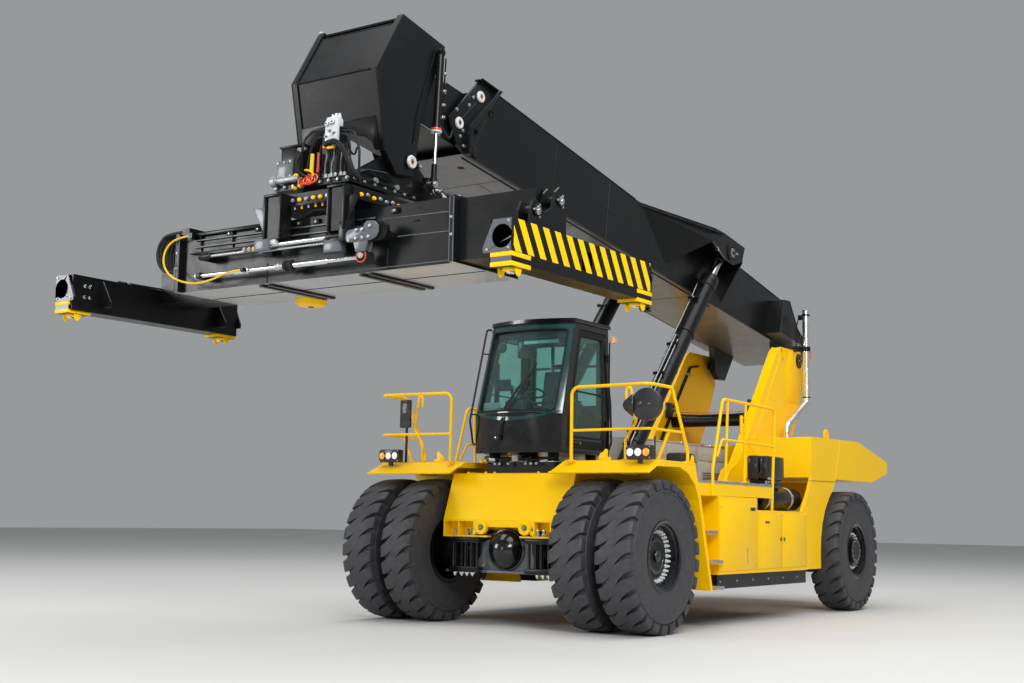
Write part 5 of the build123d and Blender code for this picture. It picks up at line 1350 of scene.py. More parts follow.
def boom_side(side, hand):
    """The collar's cheek, welds, stiffeners and pins on one side of the outer boom."""
    trim = Pile("boom_side_" + hand)
    out = X * side
    # The cheek stands in front of the mouth; its rear edge is a folded flange that runs down the collar.
    cheek = [(9.05, 0.252), (9.18, 0.252), (9.33, 0.3), (9.52, 0.56), (9.03, 1.205), (8.64, 1.2)]
    trim.prism(BLACK, cheek, on_boom(side * 0.575, 0, 0), FORWARD, UPWARD, 0.026 * -side, 0.004)
    flange = [(8.64, 1.215), (8.7, 1.215), (9.205, 0.56), (9.19, 0.24), (9.13, 0.24), (9.14, 0.545)]
    trim.prism(BLACK, flange, on_boom(side * 0.597, 0, 0), FORWARD, UPWARD, 0.075 * -side, 0.005)
    brow = [(8.64, 1.204), (9.035, 1.209), (9.06, 1.18), (9.07, 1.2), (9.04, 1.228), (8.64, 1.222)]
    trim.prism(BLACK, brow, on_boom(side * 0.56, 0, 0), FORWARD, UPWARD, 0.09 * -side, 0.003)
    ringed_pin(trim, on_boom(side * 0.602, 8.985, 1.02), out, 0.052)
    ringed_pin(trim, on_boom(side * 0.602, 9.335, 0.56), out, 0.052)
    for s, t in ((9.12, 0.96), (9.18, 0.84), (9.4, 0.7), (9.25, 0.5), (9.29, 0.42), (9.21, 0.33)):
        trim.bolt(on_boom(side * 0.602, s, t), out, 0.011)
    weld_bead(trim, BLACK, [on_boom(side * 0.604, 9.02, 0.96), on_boom(side * 0.604, 9.3, 0.62)], 0.006)
    # Lifting eyes, their holes filled by dark discs of painted shade, and a tapped pad on the side plate.
    for s, t, size in ((8.74, 0.905, 0.045), (9.0, 0.58, 0.034)):
        trim.turned(SHADE_AND_DARK_PARTS, ((0, -0.001), (size * 0.72, -0.001)), on_boom(side * 0.602, s, t), out, 24)
        trim.turned(BLACK, ((size * 0.7, 0), (size * 0.72, 0.01), (size, 0.01), (size * 1.1, 0)),
            on_boom(side * 0.6, s, t), out, 28)
    trim.prism(BLACK, [(8.98, 0.4), (9.09, 0.44), (9.06, 0.29), (8.96, 0.27)], on_boom(side * 0.598, 0, 0), FORWARD,
        UPWARD, 0.02 * -side, 0.004)
    # The seam between the sheets, and the corner welds of the long box: (radius, places along the boom).
    welds = [(0.0035, ((8.93, 0.725), (5.3, 0.65))), (0.009, ((8.6, 1.186), (5.25, 1.062))),
        (0.008, ((9.12, 0.252), (0.7, 0.252))), (0.008, ((1.78, 1.094), (0.2, 1.02), (-0.88, 0.604)))]
    welds += [(0.003, ((s, 0.262), (s, 1.06))) for s in (7.3, 5.95)]
    for radius, run in welds:
        weld_bead(trim, BLACK, [on_boom(side * 0.6, s, t) for s, t in run], radius)
    # The lift cylinder's pin in the lug: a keeper plate and its screws.
    eye = on_boom(side * 0.936, *LIFT_PIN)
    trim.turned(BLACK, ((0.15, -0.001), (0.15, 0.012), (0.142, 0.018), (0.092, 0.018)), eye, out, 44)
    trim.turned(STEEL, ((0, 0.03), (0.066, 0.03), (0.074, 0.024), (0.074, 0.01)), eye, out, 36)
    trim.box(BLACK, flank(side, 0.94, 0.968), (eye.y - AXLE_Y - 0.03, eye.y - AXLE_Y + 0.16),
        (eye.z - 0.022, eye.z + 0.022), 0.004)
    trim.bolts([at(side * 0.968, eye.y - AXLE_Y + 0.125, eye.z), at(side * 0.968, eye.y - AXLE_Y + 0.085, eye.z)],
        out, 0.008)
    # Welded edges of the foot's side box, and the pivot pin's cap.
    edges = ((0.78, 0.302), (0.69, 0.858), (0.45, 0.898), (0.107, 0.56), (-0.148, 0.302))
    weld_bead(trim, BLACK, [on_boom(side * 0.873, s, t) for s, t in edges], 0.01)
    for s, t in edges[:3]:
        weld_bead(trim, BLACK, [on_boom(side * 0.602, s, t), on_boom(side * 0.873, s, t)], 0.008)
    trim.turned(STEEL, ((0, 0.018), (0.07, 0.018), (0.078, 0.01), (0.078, -0.004)), on_boom(side * 0.604, 0, 0), out,
        36)
    trim.build("outer_boom")


def boom_under():
    """Hose rails, a cable tray and sheet joints under the outer boom, and pads at its mouth."""
    under = Pile("boom_under")
    for n, (x, radius) in enumerate(((-0.545, 0.015), (-0.5, 0.015), (-0.455, 0.012), (0.54, 0.012))):
        under.pipe(HOSE if n < 3 else BLACK, [on_boom(x, 9.13, 0.225), on_boom(x, 2.7, 0.225)], radius, 0.05, 8)
    for s in (8.95, 8.05, 7.15, 6.25, 5.35, 4.45, 3.55, 2.8):
        clamp = [(s - 0.02, 0.252), (s + 0.02, 0.252), (s + 0.02, 0.205), (s - 0.02, 0.205)]
        under.prism(BLACK, clamp, on_boom(-0.43, 0, 0), FORWARD, UPWARD, 0.145, 0.003)
    for s in (8.3, 6.6, 4.9, 3.2):
        weld_bead(under, SHADE_AND_DARK_PARTS, [on_boom(-0.42, s, 0.25), on_boom(0.59, s, 0.25)], 0.003)
    weld_bead(under, SHADE_AND_DARK_PARTS, [on_boom(0.18, 8.3, 0.25), on_boom(0.18, 6.6, 0.25)], 0.003)
    # Dark discs of painted shade where three holes open in the underside.
    for x, s in ((0.3, 8.82), (-0.15, 7.45), (0.3, 5.75)):
        hole = circle_of(on_boom(x, s, 0.249), -UPWARD, 0.045, 24)
        under.take(SHADE_AND_DARK_PARTS, hole, [list(range(24))])
    # Round slide-pad covers on top of the mouth, and beside it.
    for x in (-0.36, -0.13, 0.13, 0.36):
        under.turned(BLACK, ((0.052, -0.006), (0.052, 0.016), (0.044, 0.022), (0, 0.022)), on_boom(x, 8.48, 1.187),
            UPWARD, 28)
        under.bolt(on_boom(x, 8.48, 1.208), UPWARD, 0.01)
    under.box(BLACK, (-0.5, 0.5), (-1.73, -1.69), (6.205, 6.24), 0.004)
    under.build("outer_boom")


def hood_trim():
    """Edge rolls, the plate with the arch, and the hose guides at the front of the inner boom."""
    hood = Pile("hood_trim")
    for side in (-1, 1):
        edge = [(10.3, -0.39), (10.515, -0.205), (10.8, 0.61), (10.522, 1.27), (10.485, 1.35), (9.73, 1.312)]
        hood.pipe(BLACK, [on_boom(side * 0.588, s, t) for s, t in edge], 0.013, 0.03, 8)
        hood.pipe(BLACK, [on_boom(side * 0.588, s, t) for s, t in ((9.735, 1.305), (9.998, 0.39), (10.025, -0.32))],
            0.01, 0.03, 8)
        hood.pipe(BLACK, [on_boom(side * 0.606, s, t) for s, t in ((9.88, 1.22), (10.08, 0.38), (10.09, 0.02))],
            0.008, 0.03, 8)
    # Seen from in front, the lower edge is an arch that falls further on the left.
    arch = [(-0.52, -0.2), (-0.43, -0.19), (-0.385, -0.11), (-0.33, -0.04), (-0.24, 0.06), (-0.15, 0.105),
        (-0.06, 0.118), (0.03, 0.105), (0.13, 0.04), (0.22, -0.01), (0.34, -0.04), (0.44, -0.12), (0.47, -0.2),
        (0.52, -0.2)]
    lean = (on_boom(0, 10.62, 0.12) - on_boom(0, 10.52, -0.21)).normalized()
    foot = on_boom(0, 10.6165, 0.12)
    plate = [(x, t - 0.12) for x, t in arch] + [(0.52, 0.03), (-0.52, 0.03)]
    hood.prism(BLACK, plate, foot, X, lean, 0.024, 0.003)
    hood.pipe(BLACK, [foot + X * x + lean * (t - 0.12) for x, t in arch], 0.009, 0.02, 8)
    # A pressed lip where the two faces of the plate meet, and the far corner's lifting ear.
    hood.pipe(BLACK, [on_boom(-0.52, 10.797, 0.61), on_boom(0.52, 10.797, 0.61)], 0.012, 0.02, 10)
    hood.pipe(BLACK, [on_boom(-0.52, 10.515, 1.255), on_boom(0.52, 10.515, 1.255)], 0.01, 0.02, 10)
    ear = [(10.38, 1.3), (10.5, 1.33), (10.48, 1.395), (10.43, 1.398)]
    hood.prism(ZINC, ear, on_boom(-0.575, 0, 0), FORWARD, UPWARD, 0.045, 0.006)
    # Hoses fold down between the boom's end and the head, held on the left cheek.
    for n in range(4):
        drop = 0.055 * n
        run = [on_boom(0.47 - 0.02 * n, 9.96, 0.28 - drop), on_boom(0.56, 10.06, 0.25 - drop * 1.2),
            on_boom(0.47 - 0.02 * n, 10.24, 0.22 - drop), on_boom(0.2, 10.33, 0.26 - drop)]
        hood.pipe(HOSE, run, 0.012, 0.1, 8)
    for s, t in ((9.56, 0.42), (9.64, 0.64), (9.56, 0.85), (9.7, 0.34)):
        hood.bolt(on_boom(0.521, s, t), X, 0.013)
    # Wear strips along the inner box where it leaves the mouth.
    for side in (-1, 1):
        for t in (0.335, 0.968):
            hood.pipe(STEEL, [on_boom(side * 0.514, 9.54, t), on_boom(side * 0.514, 9.96, t)], 0.01, 0.02, 8)
    hood.build("inner_boom")


for side, hand in SIDES:
    boom_side(side, hand)
boom_under()
hood_trim()

# ------------------------------------------------------------------ lift and damping cylinders
LIFT_X, LIFT_BASE = 0.76, (1.31, 1.95)
DAMPER_X, DAMPER_TOP, DAMPER_EYE = 0.65, (-2.64, 6.4), (-2.72, 4.9)


def lift_cylinder(side, hand):
    """Gland, bands, feed pipes and foot boss of one lift cylinder."""
    foot = at(side * LIFT_X, *LIFT_BASE)
    toward = (on_boom(side * LIFT_X, *LIFT_PIN) - foot).normalized()
    front = (-Y - toward * (-Y).dot(toward)).normalized()
    inward = -X * side

    def beside(along, angle, radius=0.15):
        """A place beside the barrel; the angle turns from its front side toward the boom."""
        return foot + toward * along + (front * math.cos(angle) + inward * math.sin(angle)) * radius

    trim = Pile("lift_cylinder_trim_" + hand)
    gland = ((0.126, 3.66), (0.138, 3.668), (0.138, 3.76), (0.133, 3.766), (0.133, 3.774), (0.138, 3.78),
        (0.138, 3.892), (0.13, 3.905), (0.09, 3.907), (0.086, 3.9), (0.07, 3.9))
    trim.turned(BLACK, gland, foot, toward, 48)
    for along in (2.64, 0.43):
        band = ((0.1255, along), (0.139, along + 0.006), (0.139, along + 0.046), (0.1255, along + 0.052))
        trim.turned(BLACK, band, foot, toward, 48)
    trim.turned(BLACK, ((0.1255, 1.925), (0.13, 1.93), (0.13, 1.94), (0.1255, 1.945)), foot, toward, 48)
    trim.bolts(circle_of(foot + toward * 3.906, toward, 0.108, 10), toward, 0.008, BLACK)
    # The feed pipe climbs the barrel from its foot to the gland, held by two-bolt clamps.
    for angle, top, off in ((0.32, 3.72, 0.165), (-0.1, 2.48, 0.205), (-0.32, 2.42, 0.165)):
        route = [beside(0.33, angle, 0.12), beside(0.38, angle, off), beside(top - 0.05, angle, off),
            beside(top, angle, 0.12)]
        trim.pipe(STEEL, route, 0.011, 0.03, 10)
    for along in (0.6, 1.7, 2.3, 3.3):
        middle = beside(along, 0, 0.15)
        across = toward.cross(front)
        clamp = [(-0.085, -0.012), (0.085, -0.012), (0.085, 0.03), (-0.085, 0.03)]
        trim.prism(BLACK, clamp, middle, across, front, 0.04, 0.004)
        trim.bolt(middle + front * 0.03 + across.cross(front) * 0.02, front, 0.008)
    for along, angle in ((3.72, 0.0), (0.42, 0.0)):
        port = beside(along, angle, 0.12)
        trim.prism(BLACK, [(-0.045, 0), (0.045, 0), (0.045, 0.06), (-0.045, 0.06)], port - toward * 0.04,
            toward.cross(front), front, 0.08, 0.006)
    # The foot's boss and the pin's cap plate.
    boss = ((0.112, -0.004), (0.118, 0.004), (0.118, 0.014), (0.108, 0.022), (0.062, 0.022), (0.058, 0.012),
        (0.058, -0.004))
    trim.turned(BLACK, boss, foot + X * side * 0.075, X * side, 44)
    trim.build("lift_barrel_" + hand)
    rod = Pile("lift_rod_trim_" + hand)
    reach = (on_boom(side * LIFT_X, *LIFT_PIN) - foot).length
    neck = ((0.0685, reach - 0.19), (0.084, reach - 0.18), (0.09, reach - 0.12), (0.09, reach - 0.06))
    rod.turned(BLACK, neck, foot, toward, 40)
    rod.turned(BLACK, ((0.088, 0), (0.096, 0.006), (0.096, 0.012), (0.07, 0.014)),
        on_boom(side * (LIFT_X + 0.075), *LIFT_PIN), X * side, 40)
    rod.build("lift_rod_" + hand)


def damper(side, hand):
    """Clips, scraper collar and sleeves of one damping cylinder."""
    top = at(side * DAMPER_X, *DAMPER_TOP)
    toward = (at(side * DAMPER_X, *DAMPER_EYE) - top).normalized()
    trim = Pile("damper_trim_" + hand)
    trim.turned(BLACK, ((0.043, 0.82), (0.05, 0.824), (0.05, 0.896), (0.043, 0.9)), top, toward, 32)
    trim.turned(ORANGE, ((0.046, 0.872), (0.056, 0.876), (0.056, 0.892), (0.046, 0.896)), top, toward, 32)
    trim.turned(SILVER, ((0.022, 0.903), (0.06, 0.903), (0.062, 0.909), (0.062, 0.917), (0.056, 0.921),
        (0.022, 0.921)), top, toward, 32)
    beside = top + X * side * 0.036 + Y * 0.052
    for along in (0.24, 0.44, 0.6, 0.74):
        place = beside + toward * along
        trim.turned(ZINC, ((0.0, -0.014), (0.016, -0.014), (0.018, -0.008), (0.018, 0.008), (0.016, 0.014),
            (0, 0.014)), place, toward, 16)
        trim.bolt(place + X * side * 0.016, X * side, 0.008)
    trim.pipe(BLACK, [beside + toward * 0.06, beside + toward * 0.86], 0.009, 0.02, 8)
    trim.pipe(HOSE, [beside + toward * 0.86, beside + toward * 0.9 + Y * 0.06, beside + toward * 0.96 + Y * 0.15,
        beside + toward * 0.84 + Y * 0.19], 0.012, 0.06, 8)
    trim.build("damper_barrel_" + hand)
    rod = Pile("damper_rod_trim_" + hand)
    foot = at(side * DAMPER_X, *DAMPER_EYE)
    sleeve = ((0.0205, 0.222), (0.03, 0.217), (0.032, 0.209), (0.032, 0.08), (0.04, 0.06), (0.044, 0.02))
    rod.turned(BLACK, sleeve, foot, -toward, 32)
    rod.turned(ZINC, ((0, 0.046), (0.02, 0.046), (0.024, 0.04), (0.024, 0.028)), foot, X * side, 24)
    rod.build("damper_rod_" + hand)


for side, hand in SIDES:
    lift_cylinder(side, hand)
    damper(side, hand)

# ------------------------------------------------------------------ spreader head, carriage and beam
BEAM_FRONT, ROD_Y = -3.964, -4.1
# Heights of the two side-shift cylinders.
UPPER_ROD_Z, LOWER_ROD_Z = 4.082, 3.845


def hose_tuft(pile, starts, ends, sag, radius, finish=None):
    """A handful of short hoses from one row of fittings to another."""
    for start, end in zip(starts, ends):
        middle = (start + end) / 2 + sag
        pile.pipe(finish or HOSE, [start, start.lerp(middle, 0.55) + sag * 0.25, end.lerp(middle, 0.55) + sag * 0.25,
            end], radius, 0.08, 8)


def head_valves():
    """The valve block, junction box, motor, fittings and hoses that stand on the spreader head."""
    head = Pile("head_valves")
    # Bright valve block with plugged ports, standing in front of the dark one of the part.
    head.box(SILVER, (0.19, 0.35), (-3.985, -3.925), (5.08, 5.36), 0.016)
    head.box(SILVER, (0.205, 0.335), (-3.99, -3.85), (5.29, 5.39), 0.022)
    for x, z, size in ((0.232, 5.31, 0.024), (0.308, 5.32, 0.024), (0.265, 5.235, 0.018), (0.32, 5.21, 0.02),
            (0.22, 5.18, 0.014), (0.255, 5.13, 0.018)):
        head.turned(STEEL, ((size, 0), (size, 0.02), (size * 0.8, 0.026), (size * 0.45, 0.026), (size * 0.4, 0.01),
            (0, 0.01)), at(x, -3.986, z), -Y, 6 if size < 0.022 else 24)
    for x, z in ((0.225, 5.385), (0.27, 5.392), (0.315, 5.384)):
        head.turned(SILVER, ((0.022, 0), (0.022, 0.026), (0.014, 0.032), (0.014, 0.052), (0, 0.052)), at(x, -3.9, z),
            Z, 6)
    head.box(ORANGE, (0.175, 0.225), (-3.995, -3.97), (5.055, 5.095), 0.008)
    head.box(YELLOW, (0.235, 0.335), (-3.998, -3.97), (5.045, 5.075), 0.008)
    # Hoses leave the block on both sides and drop to the deck.
    left = [[(0.17, -3.96, 5.26), (0.03, -3.98, 5.27), (-0.06, -4.0, 5.19), (-0.09, -4.01, 5.06),
        (-0.16, -4.01, 4.96), (-0.16, -3.98, 4.86), (-0.04, -3.98, 4.79)], [(0.17, -3.94, 5.2), (0.02, -3.93, 5.2),
        (-0.03, -3.95, 5.06), (-0.06, -3.95, 4.88), (-0.05, -3.93, 4.77)], [(0.17, -3.92, 5.14), (0.08, -3.9, 5.14),
        (0.05, -3.9, 4.98), (0.06, -3.9, 4.77)]]
    right = [[(0.38, -3.96, 5.28), (0.5, -3.98, 5.29), (0.56, -3.98, 5.2), (0.6, -3.96, 5.1), (0.74, -3.9, 5.1),
        (0.86, -3.8, 5.16), (0.93, -3.6, 5.12)], [(0.38, -3.93, 5.2), (0.47, -3.93, 5.19), (0.49, -3.92, 5.02),
        (0.47, -3.9, 4.77)], [(0.38, -3.92, 5.24), (0.52, -3.9, 5.22), (0.58, -3.88, 5.02), (0.55, -3.84, 4.77)]]
    for route in left + right[1:]:
        head.pipe(HOSE, [at(*point) for point in route], 0.013, 0.07, 8)
    # One wide ribbed hose arcs from the block's foot to the deck's corner.
    arc_route = [at(0.22, -3.99, 5.1), at(0.36, -4.02, 5.11), at(0.46, -4.02, 5.04), at(0.54, -4.0, 4.9),
        at(0.57, -3.97, 4.78), at(0.6, -3.88, 4.7)]
    head.pipe(HOSE, arc_route, 0.027, 0.1, 12)
    line = rounded(arc_route, 0.1, 6)
    for near, far in zip(line, line[1:]):
        count = max(1, int((far - near).length / 0.016))
        for n in range(count):
            head.turned(HOSE, ((0.026, -0.004), (0.031, -0.003), (0.031, 0.003), (0.026, 0.004)),
                near.lerp(far, n / count), far - near, 16)
    # A comb of straight hoses stands between the block and the deck.
    for n in range(9):
        x = 0.195 + n * 0.034
        low = at(x - 0.006 * (n % 3), -3.955 - 0.02 * (n % 2), 4.765)
        head.pipe(HOSE if n % 3 else STEEL, [low, low + Z * 0.13, at(x + 0.012, -3.95, 4.98), at(x, -3.95, 5.09)],
            0.0105, 0.05, 8)
        head.turned(ZINC, ((0.017, 0), (0.017, 0.034), (0.012, 0.04)), low - Z * 0.016, Z, 6)
    # Yellow and red power leads climb beside the junction box, over a tangle of red wires.
    head.pipe(YELLOW_HOSE, [at(0.02, -3.975, 4.83), at(0.028, -3.975, 5.025)], 0.022, 0.03, 12)
    head.pipe(YELLOW_HOSE, [at(-0.06, -3.985, 4.865), at(0.03, -3.985, 4.845), at(0.055, -3.98, 4.79)], 0.012, 0.03, 8)
    head.pipe(RED, [at(0.108, -3.975, 4.82), at(0.114, -3.975, 5.025)], 0.015, 0.03, 12)
    for n in range(5):
        x, z = -0.11 + 0.035 * n, 4.745 - 0.012 * (n % 2)
        loop = [at(x, -3.975, z + 0.05), at(x - 0.05, -3.99, z), at(x, -4.0, z - 0.035),
            at(x + 0.08, -3.995, z - 0.02), at(x + 0.09, -3.985, z + 0.045), at(x + 0.02, -3.975, z + 0.07)]
        head.pipe(RED if n % 2 else ORANGE, loop, 0.009, 0.04, 8)
    # Junction box: a folded lid with a light edge, a slate door with screws, cable glands.
    head.box(BLACK, (-0.425, -0.12), (-3.965, -3.745), (4.8, 5.15), 0.008)
    head.box(BLACK, (-0.44, -0.105), (-3.98, -3.74), (5.14, 5.162), 0.005)
    head.box(PLATE_GREY, (-0.462, -0.245), (-3.985, -3.96), (4.81, 5.005), 0.005)
    head.box(SHADE_AND_DARK_PARTS, (-0.225, -0.15), (-3.972, -3.962), (4.85, 5.08), 0.004)
    for x in (-0.442, -0.356, -0.268):
        head.bolt(at(x, -3.985, 4.985), -Y, 0.007)
        head.bolt(at(x, -3.985, 4.832), -Y, 0.007)
    for x, z in ((-0.13, 5.1), (-0.1, 5.08), (-0.07, 5.1)):
        head.turned(ZINC, ((0.016, 0), (0.016, 0.05), (0.01, 0.056), (0, 0.056)), at(x, -3.97, z), -X + Z * 0.1, 6)
    # Slewing motor lying on the deck's edge, with its round end on the left.
    head.turned(ZINC, ((0.0, 0.0), (0.05, 0.0), (0.056, 0.008), (0.056, 0.06), (0.03, 0.066), (0.03, 0.1),
        (0.038, 0.104), (0.038, 0.33), (0.026, 0.336), (0.026, 0.37), (0, 0.37)), at(-0.52, -3.985, 4.79), X, 32)
    head.turned(SHADE_AND_DARK_PARTS, ((0.0, -0.002), (0.034, -0.002)), at(-0.52, -3.985, 4.79), X, 24)
    for x, z in ((-0.18, 4.825), (-0.205, 4.69), (-0.12, 4.7)):
        head.turned(YELLOW, ((0.02, 0), (0.02, 0.034), (0.013, 0.04), (0.013, 0.056), (0, 0.056)), at(x, -3.955, z),
            -Y, 6)
    # Lamps' plugs, grease nipples and bolts along the deck's folded edges.
    for n in range(9):
        head.turned(ZINC, ((0.019, 0), (0.021, 0.01), (0.016, 0.024), (0, 0.028)),
            at(-0.48 + 0.122 * n, -3.951, 4.722), -Y, 12)
        if n < 8:
            head.turned(ZINC, ((0.017, 0), (0.019, 0.01), (0.014, 0.022), (0, 0.026)),
                at(0.511, -3.88 + 0.165 * n, 4.725), X, 12)
    for y, size in ((-3.55, 0.034), (-3.2, 0.034)):
        head.turned(YELLOW, ((size * 0.6, -0.002), (size * 0.6, 0.028), (0, 0.03)), at(0.4, y, 4.77), Z, 16)
        head.turned(ZINC, ((size, 0), (size, 0.02), (size * 0.8, 0.036), (0, 0.04)), at(0.515, y, 4.772), X, 16)
    hose_tuft(head, [at(0.36 + 0.03 * n, -3.9, 4.76) for n in range(5)],
        [at(0.56, -3.5 + 0.05 * n, 4.8) for n in range(5)], Z * 0.09 + X * 0.08, 0.011)
    hose_tuft(head, [at(-0.3 + 0.05 * n, -3.74, 4.9) for n in range(4)],
        [at(-0.2 + 0.05 * n, -3.2, 4.8) for n in range(4)], Z * 0.12, 0.012)
    head.build("spreader_head")


def head_frame_trim():
    """Bosses, gussets and the ringed pins of the head frame, and the wrapped hoses behind it."""
    frame_trim = Pile("head_frame_trim")
    pin_s, pin_t = 10.115, -0.2
    for side in (-1, 1):
        pin = on_boom(side * 0.626, pin_s, pin_t)
        ringed_pin(frame_trim, pin, X * side, 0.055)
        frame_trim.box(BLACK, flank(side, 0.604, 0.624), (-2.98, -2.9), (5.03, 5.07), 0.004)
        frame_trim.bolt(at(side * 0.624, -2.925, 5.05), X * side, 0.01)
        gusset = [(-3.62, 4.752), (-3.18, 4.752), (-3.12, 4.95), (-3.23, 4.96)]
        frame_trim.prism(BLACK, gusset, at(side * 0.514, 0, 0), Y, Z, 0.018 * side, 0.003)
        frame_trim.pipe(BLACK, [at(side * 0.607, -2.84, 4.83), at(side * 0.607, -2.7, 4.99),
            at(side * 0.607, -2.59, 4.7)], 0.008, 0.03, 8)
        eye = at(side * 0.616, -2.72, 4.9)
        frame_trim.turned(BLACK, ((0.062, -0.004), (0.062, 0.006), (0.056, 0.012), (0.047, 0.012)), eye, X * side, 32)
        lip = [at(side * 0.512, -3.94, 4.748), at(side * 0.512, -2.57, 4.748)]
        frame_trim.pipe(BLACK, lip, 0.008, 0.02, 8)
    frame_trim.pipe(BLACK, [at(-0.505, -3.952, 4.748), at(0.505, -3.952, 4.748)], 0.008, 0.02, 8)
    # Hoses in a spiral guard hang from the frame's rear corner towards the beam.
    for x, y in ((0.7, -2.64), (0.74, -2.7)):
        wrap = [at(x - 0.13, y, 4.81), at(x - 0.02, y, 4.83), at(x + 0.05, y, 4.76), at(x + 0.06, y, 4.64),
            at(x - 0.01, y, 4.56), at(x - 0.12, y, 4.555)]
        frame_trim.pipe(HOSE, wrap, 0.02, 0.07, 10)
        line = rounded(wrap, 0.07, 8)
        for near, far in zip(line, line[1:]):
            for k in range(max(1, int((far - near).length / 0.014))):
                frame_trim.turned(SILVER if k % 3 == 0 else HOSE, ((0.02, -0.004), (0.0245, -0.003), (0.0245, 0.003),
                    (0.02, 0.004)), near + (far - near).normalized() * 0.014 * k, far - near + Z * 0.01, 14)
    frame_trim.turned(BLACK, ((0.432, 4.604), (0.44, 4.61), (0.44, 4.64), (0.432, 4.646)), at(0, -3.434, 0), Z, 64)
    frame_trim.build("spreader_head")


def carriage_trim():
    """Bolt rows, curved gussets and slide pads of the slewing carriage."""
    trim = Pile("carriage_trim")
    for n in range(6):
        finish = YELLOW if n in (1, 3, 4) else ZINC
        trim.turned(finish, ((0.02, 0), (0.022, 0.01), (0.016, 0.026), (0, 0.03)),
            at(-0.13 + 0.095 * n, -4.071, 4.528), -Y, 12)
        trim.turned(finish, ((0.012, 0), (0.012, -0.04), (0, -0.042)), at(-0.13 + 0.095 * n, -4.04, 4.48), Z, 10)
    for n in range(11):
        finish = YELLOW if n in (0, 2, 6, 7, 9) else ZINC
        trim.turned(finish, ((0.022, 0), (0.024, 0.012), (0.017, 0.028), (0, 0.032)),
            at(0.681, -3.96 + 0.1 * n, 4.52 + 0.012 * (n % 2)), X, 12)
    # A skirt below the block's edges, folded, with a light lip.
    trim.box(BLACK, (-0.56, 0.68), (-4.078, -4.062), (4.47, 4.498), 0.003)
    trim.box(BLACK, (0.672, 0.69), (-4.07, -2.8), (4.468, 4.5), 0.003)
    # Legs: a channel face, an outer gusset with a curved edge, and a pad box at the foot.
    curve = [(0.0, 4.48), (0.19, 4.48), (0.15, 4.4), (0.085, 4.3), (0.04, 4.22), (0.012, 4.14), (0.0, 4.135)]
    for y, thick in ((-4.15, 0.018), (-2.735, 0.018)):
        trim.prism(PLATE_GREY, [(-x, z) for x, z in curve], at(-0.428, y, 0), X, Z, -thick, 0.003)
        trim.prism(BLACK, [(x * 0.9, z) for x, z in curve], at(0.658, y, 0), X, Z, -thick, 0.003)
    for x0, x1 in ((-0.43, -0.2), (0.44, 0.66)):
        trim.box(BLACK, (x0 - 0.006, x0 + 0.022), (-4.186, -4.16), (4.132, 4.59), 0.003)
        trim.box(BLACK, (x1 - 0.022, x1 + 0.006), (-4.186, -4.16), (4.132, 4.59), 0.003)
        trim.box(BLACK, (x0 - 0.006, x1 + 0.006), (-4.19, -4.16), (4.575, 4.6), 0.003)
    trim.box(PLATE_GREY, (-0.545, -0.335), (-4.195, -4.164), (4.01, 4.132), 0.006)
    trim.turned(SILVER, ((0.034, 0), (0.034, 0.05), (0.026, 0.056), (0, 0.056)), at(-0.335, -4.14, 4.098), X, 20)
    trim.build("slew_carriage")


